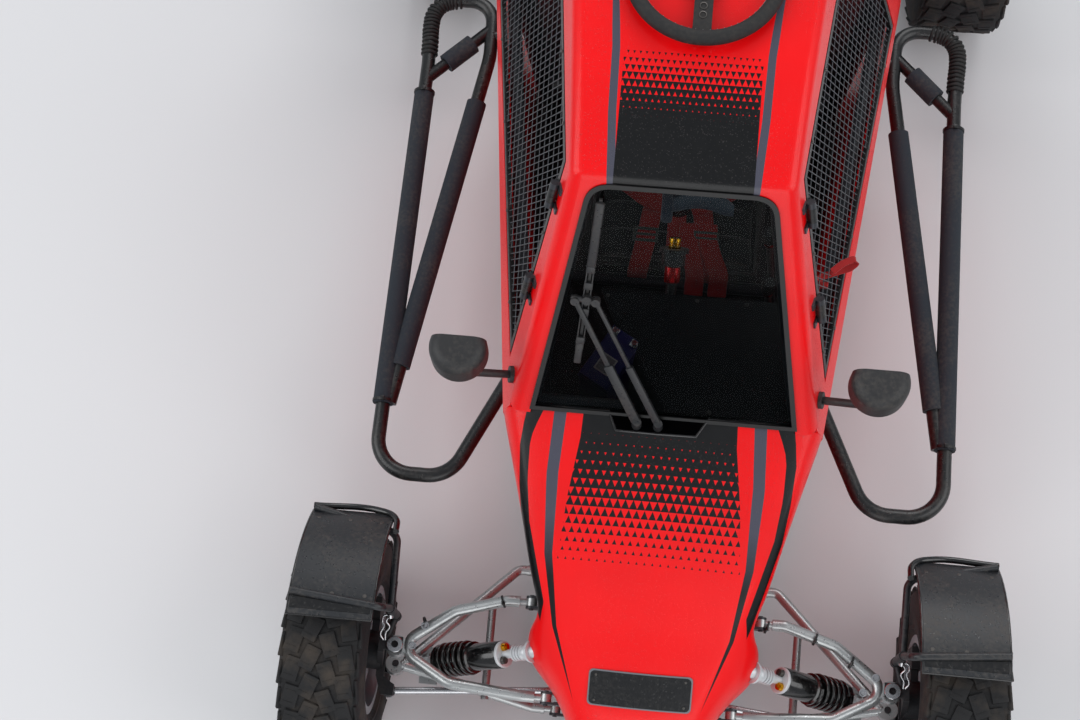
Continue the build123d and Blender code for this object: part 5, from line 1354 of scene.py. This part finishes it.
@dataclass
class Cabin(Assembly):
    """Seat pads, belts, battery, dash, and what is on the levers, pedals and right door."""

    battery_top: Point = (-0.124, -0.238, 0.2993)
    battery_turn: float = -30.0
    belt_side: float = 0.070
    buckle: Point = (0.0, 0.192, 0.174)
    pad_steps: tuple[int, int] = (56, 40)
    seam_width: float = 0.0065
    levers: tuple[tuple[Point, Point], ...] = (((0.196, -0.030, 0.560), (0.240, -0.026, 0.130)),
                                               ((0.200, -0.140, 0.552), (0.240, -0.104, 0.130)))
    pedals: tuple[float, ...] = (-0.100, 0.060, 0.130)

    def pad(self, name: str, start: Point, end: Point, up: Point, width: float, height: float,
            channels: Sequence[float]) -> None:
        """Builds one crowned cushion that rests flat on the seat shell.

        Args:
            name: The pad's name.
            start: Middle of its first edge.
            end: Middle of its last edge.
            up: The way it swells.
            width: Width at its corners.
            height: Thickness at its crown.
            channels: Shares of its length where a seam is sewn across.
        """
        start, run, up = Vector(start), Vector(end) - Vector(start), Vector(up).normalized()
        side = run.normalized().cross(up).normalized()
        rows = []
        long, wide = self.pad_steps
        for step in range(long + 1):
            share = step / long
            close = max(0.0, 1 - abs(2 * share - 1) ** 9) ** 0.5
            half = width / 2 - 0.009 * math.sin(math.pi * share) - 0.010 * (1 - close)
            seam = sum(math.exp(-(((share - at) * run.length) / self.seam_width) ** 2) for at in channels)
            row = []
            for index in range(wide + 1):
                across = -math.cos(math.pi * index / wide)
                dome = max(0.0, 1 - abs(across) ** 5) ** 0.5
                bolster = 0.16 * math.exp(-((abs(across) - 0.74) / 0.15) ** 2)
                piping = 0.22 * math.exp(-((abs(across) - 0.56) / 0.018) ** 2)
                rise = height * dome * (0.22 + 0.78 * close) * (0.86 + bolster - piping - 0.30 * seam)
                row.append(start + run * share + side * (across * half) + up * rise)
            row += [start + run * share + side * (place * half) for place in (0.97, 0.5, 0.0, -0.5, -0.97)]
            rows.append(row + [row[0]])
        shape = Shape().grid(rows)
        bmesh.ops.remove_doubles(shape.bm, verts=shape.bm.verts[:], dist=1e-6)
        bmesh.ops.holes_fill(shape.bm, edges=[edge for edge in shape.bm.edges if edge.is_boundary], sides=0)
        made = self.add(shape, name, "seat_cloth", "seat_cloth", ["seat_padding"], 60.0, 1)

    def seat(self) -> None:
        """Builds the cushion, the back and the head pad."""
        self.pad("seat_cushion", (0, 0.066, 0.1300), (0, 0.286, 0.1155), (0, 0.07, 1), 0.376, 0.036, (0.33, 0.66))
        self.pad("seat_back", (0, 0.321, 0.172), (0, 0.426, 0.640), (0, -1, 0.225), 0.376, 0.034,
                 (0.16, 0.32, 0.48, 0.64, 0.80))
        self.pad("seat_head_pad", (0, 0.428, 0.650), (0, 0.461, 0.798), (0, -1, 0.225), 0.330, 0.030, (0.5,))

    def belts(self) -> None:
        """Builds the shoulder, lap and crotch belts with their adjusters and buckle."""
        belts = Shape()
        for side in (-1, 1):
            shoulder = [(1.15, 0.430, 0.800), (1.1, 0.398, 0.740), (1.0, 0.352, 0.545), (1.0, 0.300, 0.330),
                        (0.9, 0.272, 0.205), (0.8, 0.236, 0.170), (0.9, 0.160, 0.172), (1.05, 0.080, 0.177),
                        (1.15, 0.040, 0.168), (1.2, 0.024, 0.150), (1.2, 0.019, 0.130)]
            belts.strap([(side * self.belt_side * share, y, z) for share, y, z in shoulder], X_AXIS, 0.048)
            belts.strap([(side * 0.176, 0.268, 0.180), (side * 0.130, 0.240, 0.186), (side * 0.075, 0.205, 0.181),
                         (side * 0.030, 0.190, 0.178)], (0.35 * side, 1, 0.05), 0.046)
        for start, end, twist in ((0.030, 0.052, -0.10), (0.074, 0.108, 0.16)):
            belts.strap([(start, 0.150, 0.1810), (start * 1.05, 0.105, 0.1850), ((start + end) / 2, 0.062, 0.1830),
                         (end, 0.028, 0.1620), (end, 0.008, 0.1400), (end, -0.012, 0.1240)], (1, twist, 0), 0.046)
        belts.strap([(0.0, 0.176, 0.179), (0.0, 0.120, 0.178), (0.0, 0.076, 0.176)], X_AXIS, 0.044)
        self.add(belts, "harness_belts", "belt_webbing", "webbing", ["harness"], 30.0, 1, 0.0022)
        metal = Shape()
        for side in (-1, 1):
            for y, z, tilt in ((0.3185, 0.400, -1.34), (0.112, 0.1795, 0.03)):
                turn = Matrix.Translation((side * 0.072, y, z)) @ Matrix.Rotation(tilt, 4, "X")
                metal.boxes([((-0.030, -0.018, 0.0), (0.030, -0.011, 0.005), 0.0015),
                             ((-0.030, 0.011, 0.0), (0.030, 0.018, 0.005), 0.0015),
                             ((-0.030, -0.018, 0.0), (-0.024, 0.018, 0.005), 0.0015),
                             ((0.024, -0.018, 0.0), (0.030, 0.018, 0.005), 0.0015),
                             ((-0.026, -0.003, 0.001), (0.026, 0.003, 0.006), 0.0015)], turn)
        self.add(metal, "harness_adjusters", "steel_dark", "steel")
        buckle = Shape()
        buckle.lathe([(0.0, 0.0), (0.029, 0.0), (0.031, 0.003), (0.031, 0.012), (0.028, 0.016), (0.020, 0.017),
                      (0.018, 0.020), (0.0, 0.021)], self.buckle, (0, 0.07, 1), 40, closed=False)
        for turn in turns(Vector(self.buckle) + Vector((0, 0, 0.019)), 3, "Z"):
            buckle.box((0.004, -0.004, 0.0), (0.026, 0.004, 0.004), 0.0015, turn)
        self.add(buckle, "harness_buckle", "black_gloss", "steel")

    def battery(self) -> None:
        """Builds the battery with its lid edge, label plate and terminals."""
        turn = Matrix.Translation(self.battery_top) @ Matrix.Rotation(math.radians(self.battery_turn), 4, "Z")
        for name, finish, nodes, blocks in (
                ("battery_case", "battery_blue", ["battery_box"],
                 [((-0.0400, -0.0710, -0.2045), (0.0400, 0.0710, 0.0), 0.004)]),
                ("battery_lid", "battery_blue", [],
                 [((-0.0412, -0.0722, -0.018), (0.0412, 0.0722, -0.013), 0.001),
                  ((-0.0375, -0.0680, -0.002), (0.0375, 0.0680, 0.0025), 0.001)]),
                ("battery_label", "label_blank", [],
                 [((-0.0190, -0.0420, 0.0018), (0.0190, 0.0020, 0.0034), 0.0006)]),
                ("battery_label_field", "label_grey", [],
                 [((-0.0155, -0.0385, 0.0030), (0.0155, -0.0015, 0.0041), 0.0004)])):
            self.add(Shape().boxes(blocks, turn), name, finish, "battery_blue", nodes)
        posts = Shape()
        for x in (-0.026, 0.026):
            foot = turn @ Vector((x, 0.055, 0.0))
            posts.bar(foot, foot + Vector((0, 0, 0.014)), 0.0065, 0.0058)
            posts.box((x - 0.009, 0.046, 0.0045), (x + 0.009, 0.064, 0.0085), 0.001, turn)
        self.add(posts, "battery_posts", "steel_bright", "steel")

    def dash(self) -> None:
        """Builds the dash with its cut left corner, folded edges and a few screws."""
        low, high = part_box("dashboard")
        corners = [(-0.145, -0.2235), (-0.110, -0.2985), (-0.060, -0.3270), (-0.074, -0.4100), (-0.070, -0.4740),
                   (0.2600, -0.4740), (0.2600, -0.2235)]
        plate = Shape().plate([(x, y, high[2]) for x, y in corners], (0, 0, -0.0045))
        plate.box((-0.145, -0.2280, low[2]), (0.2600, -0.2235, high[2] - 0.001), 0.0015)
        plate.box((-0.070, -0.4740, high[2] - 0.020), (0.2600, -0.4700, high[2] - 0.001), 0.0010)
        for x in (0.020, 0.140):
            plate.box((x - 0.002, -0.4700, high[2] - 0.018), (x + 0.002, -0.2280, high[2] - 0.001), 0.0008)
        plate.bar((-0.004, -0.2600, high[2] - 0.004), (-0.004, -0.2600, high[2] + 0.0012), 0.0190, 0.0175, sides=32)
        self.add(plate, "dash_panel", "dash_black", "black_plastic", ["dashboard"])
        screws = Shape()
        for x, y in ((-0.130, -0.236), (0.050, -0.233), (0.150, -0.233), (0.250, -0.233), (-0.060, -0.462),
                     (0.090, -0.464), (0.250, -0.464)):
            screws.bar((x, y, high[2] - 0.001), (x, y, high[2] + 0.0022), 0.0048, 0.0036, sides=16)
        self.add(screws, "dash_screws", "steel_dark", "steel")

    def controls(self) -> None:
        """Adds grips and collars on the levers, ribs on the pedals and a door's pull loop."""
        grips, collars = Shape(), Shape()
        profile = [(0.0, 0.0)]
        for index in range(5):
            at = 0.002 + index * 0.0085
            profile += [(0.0136, at), (0.0148, at + 0.002), (0.0148, at + 0.005), (0.0136, at + 0.007)]
        profile += [(0.0138, 0.0455), (0.0110, 0.0480), (0.0, 0.0485)]
        for top, foot in self.levers:
            grips.lathe(profile, top, Z_AXIS, 28, closed=False)
            lean = (Vector(foot) - Vector(top)).normalized()
            collars.lathe(collar(0.0071, 0.0105, 0.0112, 0.0, 0.018), Vector(top) + lean * 0.004, lean, 28)
        self.add(grips, "lever_grips", "grip", "grip")
        self.add(collars, "lever_collars", "red_anodised", "steel")
        ribs = Shape()
        for x in self.pedals:
            for index in range(6):
                z = 0.212 + index * 0.014
                ribs.box((x - 0.023, -0.8010, z - 0.0022), (x + 0.023, -0.7975, z + 0.0022), 0.0010)
        self.add(ribs, "pedal_ribs", "grip", "black_plastic")
        loop = Shape().strap([(0.300, -0.214, 0.806), (0.281, -0.209, 0.800), (0.284, -0.196, 0.792),
                              (0.318, -0.178, 0.790), (0.347, -0.166, 0.796), (0.353, -0.156, 0.803),
                              (0.336, -0.160, 0.806), (0.306, -0.184, 0.804)], (-0.55, 1.0, 0.25), 0.014)
        self.add(loop, "door_pull_loop", "belt_webbing", "webbing", (), 30.0, 1, 0.0018, body=Body.DOOR_RIGHT)

    def build(self) -> None:
        """Builds everything in the cabin."""
        self.seat()
        self.belts()
        self.battery()
        self.dash()
        self.controls()


@dataclass
class Fittings(Assembly):
    """Small parts on the suspension, guards, mirrors, side bars and steering wheel."""

    tie_runs: tuple[tuple[Point, Point], ...] = (
        ((-0.302, -0.818, 0.360), (-0.165, -0.060, -0.012)), ((-0.463, -0.877, 0.350), (-0.165, -0.060, -0.012)),
        ((0.255, -0.821, 0.361), (0.180, -0.055, -0.012)), ((0.357, -0.836, 0.357), (0.180, -0.055, -0.012)),
        ((0.435, -0.876, 0.351), (0.180, -0.055, -0.012)))
    arm_bolts: tuple[Point, ...] = ((-0.484, -0.928, 0.372), (-0.462, -0.884, 0.372), (0.461, -0.938, 0.372),
                                    (0.486, -0.905, 0.372))
    front_guard: tuple[float, ...] = (FRONT_AXLE, 0.546, 0.722, 32, 87, 78, 40)
    rear_guard: tuple[float, ...] = (REAR_AXLE, 0.540, 0.742, 20, 100, 88, 30)
    guard_radius: float = 0.3105
    wheel_spot: tuple[float, float] = (0.010, 0.210)
    wheel_seam: float = 0.1225
    mirror_joint: Point = (0.3918, -0.446, 0.826)
    bar_height: float = 0.330
    bend: tuple[tuple[float, float], ...] = ((0.6160, 0.455), (0.6180, 0.500), (0.6205, 0.540), (0.6160, 0.577),
                                             (0.5960, 0.602), (0.5600, 0.6135))
    rib_pitch: float = 0.0085
    clips: tuple[tuple[float, float], ...] = ((0.6176, -0.392), (0.6162, 0.366))

    def ties(self) -> None:
        """Adds cable ties and bolts on the front arms."""
        ties = Shape()
        for spot, run in self.tie_runs:
            spot, run = Vector(spot), Vector(run).normalized()
            ties.lathe(band(0.0116, 0.0136, 0.0022), spot, run, 28)
            rise = Vector((0, -0.35, 1))
            rise = (rise - run * rise.dot(run)).normalized()
            across = run.cross(rise)
            head = spot + rise * 0.0150
            ties.bar(head - across * 0.004, head + across * 0.004, 0.0034, sides=8)
            ties.bar(head, head + rise * 0.016 + run * 0.004, 0.0012, 0.0009, sides=6)
        self.add(ties, "cable_ties", "zip_black", "black_plastic")
        bright = Shape()
        for spot in self.arm_bolts:
            spot = Vector(spot) - Vector((0, 0, 0.012))
            bright.lathe([(0.0, 0.0), (0.0085, 0.0), (0.0085, 0.0018), (0.0060, 0.0020)], spot, Z_AXIS, 24,
                         closed=False)
            bright.bar(spot + Vector((0, 0, 0.0018)), spot + Vector((0, 0, 0.0080)), 0.0060, sides=6)
        self.add(bright, "arm_bolts", "steel_bright", "steel")

    def uprights(self) -> None:
        """Adds a washer, brake hoses and their union on each front upright."""
        for name, side, body in (("right", 1, Body.KNUCKLE_RIGHT), ("left", -1, Body.KNUCKLE_LEFT)):
            washers = Shape()
            washers.lathe([(0.0075, 0.0), (0.0165, 0.0), (0.0170, 0.001), (0.0170, 0.003), (0.0160, 0.004),
                           (0.0075, 0.004)], (side * 0.520, FRONT_AXLE, 0.367), Z_AXIS, 36)
            start, end = Vector((side * 0.531, -0.877, 0.408)), Vector((side * 0.541, -0.923, 0.372))
            out = Vector((side, 0, 0))
            washers.sweep([start - out * 0.002, start.lerp(end, 0.22) + out * 0.006,
                           start.lerp(end, 0.45) - out * 0.003, start.lerp(end, 0.70) + out * 0.002, end], 0.0020)
            washers.sweep([start - out * 0.002, start + out * 0.013 - Vector((0, 0.001, 0)),
                           start + out * 0.016 - Vector((0, 0.012, 0.004)), start.lerp(end, 0.40) + out * 0.009,
                           start.lerp(end, 0.80) + out * 0.012, end + out * 0.004], 0.0020)
            washers.bar(start + Vector((0, 0.014, 0.010)), start - Vector((0, 0.002, 0.004)), 0.0072)
            self.add(washers, f"knuckle_washers_{name}", "steel_bright", "steel", body=body)

    def guards(self) -> None:
        """Adds rolled lips, a cross strip and rivets to the front and rear guards."""
        for name, side, body, guard in (("front_right", 1, Body.KNUCKLE_RIGHT, self.front_guard),
                                        ("front_left", -1, Body.KNUCKLE_LEFT, self.front_guard),
                                        ("rear_right", 1, Body.CHASSIS, self.rear_guard),
                                        ("rear_left", -1, Body.CHASSIS, self.rear_guard)):
            axle, low, high, first, last, *studs = guard

            def at(x: float, angle: float, rise: float = 0.0) -> Vector:
                """A point over the wheel."""
                turn, radius = math.radians(angle), self.guard_radius + rise
                return Vector((side * x, axle + radius * math.cos(turn), HUB_HEIGHT + radius * math.sin(turn)))

            lip = Shape()
            steps = [first + (last - first) * index / 10 for index in range(11)]
            route = [at(low + 0.002, angle) for angle in steps] + [at(high - 0.002, angle) for angle in steps[::-1]]
            lip.sweep(route, 0.0032, smooth=False, cyclic=True)
            if axle < 0:
                lip.sweep([at(high, first - 1.0, 0.007), at(low + 0.030, first - 1.0, 0.007),
                           at(low - 0.004, first + 4.0, 0.004), at(low - 0.012, first + 12.0, -0.004)], 0.0070)
            lip.grid([[at(low + 0.006 + (high - low - 0.012) * share / 8, last - drop, lift) for share in range(9)]
                      for drop, lift in ((2.2, 0.0), (2.4, 0.0035), (7.0, 0.0035), (7.2, 0.0))])
            self.add(lip, f"guard_lip_{name}", "black_gloss", "guard_plastic", body=body)
            rivets = Shape()
            for angle in studs:
                for share in (0.12, 0.5, 0.88):
                    x = low + (high - low) * share
                    rivets.bar(at(x, angle, -0.001), at(x, angle, 0.0032), 0.0062, 0.0040, sides=16)
            self.add(rivets, f"guard_rivets_{name}", "steel_dark", "steel", body=body)

    def mirrors(self) -> None:
        """Adds the glass and the joint collars of the door mirrors."""
        glass = Shape().box((0.3535, -0.4248, 0.8485), (0.4405, -0.4225, 0.9155), 0.0010).mirror()
        self.add(glass, "mirror_glass", "mirror_face", "screen")
        collars = Shape().lathe(collar(0.0082, 0.0125, 0.0135, 0.0, 0.012), self.mirror_joint, Z_AXIS, 28)
        self.add(collars.mirror(), "mirror_collars", "black_moulded", "black_plastic")

    def wraps(self) -> None:
        """Adds the ribbed rubber over the side bars' rear bends and the clips at their pads."""
        rubber = Shape()
        route = track([(x, y, self.bar_height) for x, y in self.bend])
        gone = 0.0
        for first, second in zip(route, route[1:]):
            gone += (second - first).length
            if gone >= self.rib_pitch:
                gone = 0.0
                rubber.torus(second, second - first, 0.0168, 0.0036, 22)
        self.add(rubber.mirror(), "bar_rubber_rings", "grip", "foam")
        clips = Shape()
        for x, y in self.clips:
            clips.lathe(band(0.0226, 0.0246, 0.003), (x, y, self.bar_height), Y_AXIS, 40)
            clips.box((x - 0.005, y - 0.005, 0.353), (x + 0.005, y + 0.005, 0.359), 0.001)
        self.add(clips.mirror(), "pad_clips", "zip_black", "black_plastic")

    def wheel(self) -> None:
        """Adds hub ring, bolts and grip seams to the steering wheel on the roof."""
        low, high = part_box("steering_wheel")
        centre = Vector((*self.wheel_spot, (low[2] + high[2]) / 2))
        seam = Shape().torus(centre, Z_AXIS, self.wheel_seam, 0.0012, 72)
        for turn in turns(centre, 60, "Z"):
            seam.bar(turn @ Vector((0.1224, 0, -0.0045)), turn @ Vector((0.1222, 0.002, 0.0045)), 0.0007, sides=6)
        self.add(seam, "wheel_seam", "label_grey", "grip")
        hub = Shape().lathe([(0.0165, 0.003), (0.0330, 0.003), (0.0340, 0.004), (0.0340, 0.0085), (0.0325, 0.010),
                             (0.0185, 0.010), (0.0165, 0.008)], centre, Z_AXIS, 48)
        for x, y in circle(6, 0.026):
            spot = centre + Vector((x, y, 0.009))
            hub.bar(spot, spot + Vector((0, 0, 0.0042)), 0.0046, sides=6)
        for turn in turns(centre, 3, "Z", -math.pi / 2):
            for reach in (0.056, 0.074, 0.092):
                hub.lathe([(0.0055, 0.0028), (0.0072, 0.0032), (0.0072, 0.0042), (0.0055, 0.0046)],
                          turn @ Vector((reach, 0, 0)), Z_AXIS, 20)
        self.add(hub, "wheel_hub_ring", "steel_dark", "steel")

    def build(self) -> None:
        """Builds all the fittings."""
        self.ties()
        self.uprights()
        self.guards()
        self.mirrors()
        self.wraps()
        self.wheel()


@dataclass
class RearEnd(Assembly):
    """Details on engine, air box, radiator, silencer and lamps, and the chain."""

    side_cover: Point = (0.1840, 0.712, 0.256)
    back_cover: Point = (0.046, 0.8300, 0.250)
    sprocket: Point = (0.0, 0.776, 0.292)
    pitch: float = 0.0127
    fan: Point = (-0.078, 1.129, 0.240)
    filler: Point = (-0.171, 1.107, 0.3590)
    silencer: tuple[float, float] = (0.040, 0.446)
    bands: tuple[float, ...] = (0.912, 0.930, 1.214, 1.231)
    lamp: Point = (0.168, 1.080, 0.409)

    def engine(self) -> None:
        """Adds cooling fins, covers and bolts to the engine block and ribs to the air box."""
        fins = Shape()
        for index in range(9):
            z = 0.398 + index * 0.0105
            shrink = 0.0 if index < 8 else 0.003
            fins.box((-0.0965 + shrink, 0.6100, z - 0.0018), (0.1885 - shrink, 0.8350 - shrink, z + 0.0018), 0.0006)
        self.add(fins, "engine_fins", "alloy_cast", "cast_metal")
        covers = Shape()
        covers.lathe([(0.0, 0.0), (0.066, 0.0), (0.070, 0.003), (0.070, 0.010), (0.062, 0.014), (0.030, 0.016),
                      (0.0, 0.017)], self.side_cover, X_AXIS, 48, closed=False)
        covers.lathe([(0.0, 0.0), (0.052, 0.0), (0.056, 0.003), (0.056, 0.008), (0.048, 0.011), (0.0, 0.012)],
                     self.back_cover, Y_AXIS, 44, closed=False)
        self.add(covers, "engine_covers", "alloy_cast", "cast_metal")
        bolts = Shape()
        for y, z in circle(8, 0.064):
            spot = Vector(self.side_cover) + Vector((0.0090, y, z))
            bolts.bar(spot, spot + Vector((0.006, 0, 0)), 0.0052, sides=6)
        for x, z in circle(8, 0.050):
            spot = Vector(self.back_cover) + Vector((x, 0.0070, z))
            bolts.bar(spot, spot + Vector((0, 0.006, 0)), 0.0045, sides=6)
        for x in (-0.070, 0.0, 0.070, 0.150):
            for z in (0.375, 0.158):
                bolts.bar((x, 0.8290, z), (x, 0.8365, z), 0.0062, sides=6)
        self.add(bolts, "engine_bolts", "steel_dark", "steel")
        ribs = Shape()
        for index in range(7):
            share = index / 7
            low_x, high_x = -0.054 + 0.025 * share, 0.146 - 0.025 * share
            low_y, high_y = 0.636 - 0.006 * share, 0.796 - 0.046 * share
            z = 0.532 + 0.118 * share
            ribs.box((low_x - 0.0028, low_y - 0.0010, z - 0.003), (high_x + 0.0028, high_y + 0.0028, z + 0.003), 0.0015)
        self.add(ribs, "air_box_ribs", "black_moulded", "black_plastic")

    def chain(self) -> None:
        """Builds the drive chain's links round both sprockets."""
        low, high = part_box("drive_chain")
        x = (low[0] + high[0]) / 2
        rear, front = Vector((0, REAR_AXLE, HUB_HEIGHT)), Vector(self.sprocket)
        reach_rear, reach_front = high[1] - rear.y - 0.006, front.y - low[1] - 0.006
        lean = math.atan2(front.z - rear.z, front.y - rear.y)
        spread = math.acos((reach_rear - reach_front) / (rear - front).length)
        points = []
        for centre, radius, start, end in ((rear, reach_rear, lean + spread, lean - spread + math.tau),
                                           (front, reach_front, lean - spread, lean + spread)):
            steps = max(4, int((end - start) * radius / self.pitch))
            for index in range(steps + 1):
                turn = start + (end - start) * index / steps
                points.append(centre + Vector((0, math.cos(turn), math.sin(turn))) * radius)
        loop = []
        for first, second in zip(points, points[1:] + points[:1]):
            count = max(1, round((second - first).length / self.pitch))
            loop += [first.lerp(second, index / count) for index in range(count)]
        links = Shape()
        for index, (first, second) in enumerate(zip(loop, loop[1:] + loop[:1])):
            run = second - first
            if run.length < self.pitch / 3:
                continue
            turn = Matrix.Translation(first) @ Matrix.Rotation(math.atan2(run.z, run.y), 4, "X")
            wide = 0.0066 if index % 2 else 0.0046
            for side in (-wide, wide):
                links.box((x + side - 0.0009, -0.0042, -0.0045), (x + side + 0.0009, run.length + 0.0042, 0.0045), 0.0,
                          turn)
            links.bar((x - 0.0075, first.y, first.z), (x + 0.0075, first.y, first.z), 0.0038, sides=8)
        self.add(links, "chain_links", "steel_dark", "steel", ["drive_chain"])

    def radiator(self) -> None:
        """Adds the core's fins, the fan and its guard, and the filler."""
        fins = Shape()
        for index in range(44):
            x = -0.1535 + index * 0.00415
            fins.box((x - 0.0006, 1.1195, 0.130), (x + 0.0006, 1.1242, 0.348))
            fins.box((x - 0.0006, 1.0740, 0.130), (x + 0.0006, 1.0778, 0.348))
        self.add(fins, "radiator_fins", "alloy_sheet", "sheet_aluminium")
        centre = Vector(self.fan)
        fan = Shape().lathe([(0.0, -0.008), (0.026, -0.008), (0.029, -0.004), (0.029, 0.006), (0.022, 0.010),
                             (0.0, 0.011)], centre, Y_AXIS, 36, closed=False)
        for turn in turns(centre, 7, "Y"):
            fan.box((0.024, -0.0010, -0.016), (0.080, 0.0010, 0.016), 0.0005, turn @ Matrix.Rotation(0.45, 4, "X"))
        self.add(fan, "radiator_fan", "black_moulded", "black_plastic")
        guard = Shape()
        centre = centre + Vector((0, 0.013, 0))
        for radius in (0.040, 0.062, 0.084):
            guard.torus(centre, Y_AXIS, radius, 0.0013, 48)
        for turn in turns(centre, 6, "Y", 0.3):
            guard.bar(turn @ Vector((0.027, 0, 0)), turn @ Vector((0.092, 0, 0)), 0.0014, sides=8)
        self.add(guard, "radiator_guard", "steel_bright", "steel")
        foot = Vector(self.filler)
        cap = Shape().bar(foot - Vector((0, 0, 0.0085)), foot + Vector((0, 0, 0.0010)), 0.0135)
        cap.lathe([(0.0, 0.0), (0.019, 0.0), (0.020, 0.001), (0.020, 0.008), (0.018, 0.010), (0.0, 0.011)], foot,
                  Z_AXIS, 32, closed=False)
        self.add(cap, "radiator_cap", "steel_bright", "steel")

    def exhaust(self) -> None:
        """Adds bands, a strap and studs to the silencer, and lenses and rims to the lamps."""
        bands = Shape()
        x, z = self.silencer
        for y in self.bands:
            bands.lathe(collar(0.0515, 0.0545, 0.0552, -0.004, 0.004), (x, y, z), Y_AXIS, 56)
        bands.lathe(band(0.0515, 0.0535, 0.011), (x, 1.062, z), Y_AXIS, 56)
        bands.bar((0.030, 1.062, 0.5005), (0.052, 1.062, 0.5005), 0.0045, sides=12)
        for across, rise in circle(8, 0.040):
            spot = Vector((x + across, 1.237, z + rise))
            bands.bar(spot, spot + Vector((0, 0.004, 0)), 0.0042, 0.0030, sides=12)
        self.add(bands, "silencer_bands", "steel_bright", "steel")
        for name, finish, closed, profile in (
                ("lamp_lenses", "lamp_red", False,
                 [(0.0, 0.0105), (0.010, 0.0100), (0.020, 0.0080), (0.0275, 0.0040), (0.0300, 0.0), (0.0300, -0.002)]),
                ("lamp_rims", "black_moulded", True,
                 [(0.0295, -0.004), (0.0355, -0.004), (0.0360, -0.001), (0.0350, 0.003), (0.0310, 0.004),
                  (0.0295, 0.002)])):
            shape = Shape().lathe(profile, self.lamp, Y_AXIS, 40, closed=closed)
            shape.lathe(profile, Vector(self.lamp) * Vector((-1, 1, 1)), Y_AXIS, 40, closed=closed)
            self.add(shape, name, finish, "lamp_red")

    def build(self) -> None:
        """Builds all the details."""
        self.engine()
        self.chain()
        self.radiator()
        self.exhaust()


LOOKS = {
    "frame_silver": ["front_wishbones", "rear_wishbones"],
    "frame_grey": ["lower_frame", "nose_frame", "roll_cage", "rear_frame"],
    "red_plain": ["side_panel_right", "side_panel_left"],
    "red_bonnet": ["nose_panel"],
    "red_roof": ["roof_shell"],
    "screen_clear": ["windscreen"],
    "tyre_rubber": ["tyre_front_right", "tyre_front_left", "tyre_rear_right", "tyre_rear_left"],
    "belt_webbing": ["harness"],
    "seat_cloth": ["seat_padding"],
    "black_tube": ["steering_column", "side_bars", "bumpers", "door_frame_right", "door_frame_left", "wiper",
                   "levers"],
    "black_moulded": ["door_mirrors", "seat_shell", "fuel_tank", "air_box"],
    "black_guard": ["mudguard_front_right", "mudguard_front_left", "rear_mudguards"],
    "dash_black": ["dashboard"],
    "foam_blue": ["side_bar_pads"],
    "wire_zinc": ["door_mesh_right", "door_mesh_left"],
    "steel_bright": ["tie_rods", "dampers"],
    "hinge_grey": ["door_hinges"],
    "steel_dark": ["rear_axle", "drive_chain", "exhaust"],
    "cast_dark": ["knuckle_right", "knuckle_left"],
    "cast_grey": ["rear_uprights", "engine_block"],
    "alloy_cast": ["rim_front_right", "rim_front_left", "rim_rear_right", "rim_rear_left"],
    "tray_dark": ["floor_tray"],
    "alloy_sheet": ["firewall", "radiator", "steering_rack", "pedals"],
    "black_gloss": ["springs"],
    "battery_blue": ["battery_box"],
    "lamp_red": ["tail_lamps"],
    "grip": ["steering_wheel"],
}


def main() -> None:
    """Builds the dressed kart."""
    logging.basicConfig(level=logging.INFO)
    finishes = Finishes()
    finishes.build()
    Studio().build()
    for name, nodes in LOOKS.items():
        dress(finishes[name], *nodes)
    for group in (NoseSkin(finishes), Windscreen(finishes), Tyres(finishes), CoilOvers(finishes), MeshDoors(finishes),
                  Cabin(finishes), Fittings(finishes), RearEnd(finishes)):
        group.build()
        LOG.info("built %s", type(group).__name__)


if __name__ == "__main__":
    main()
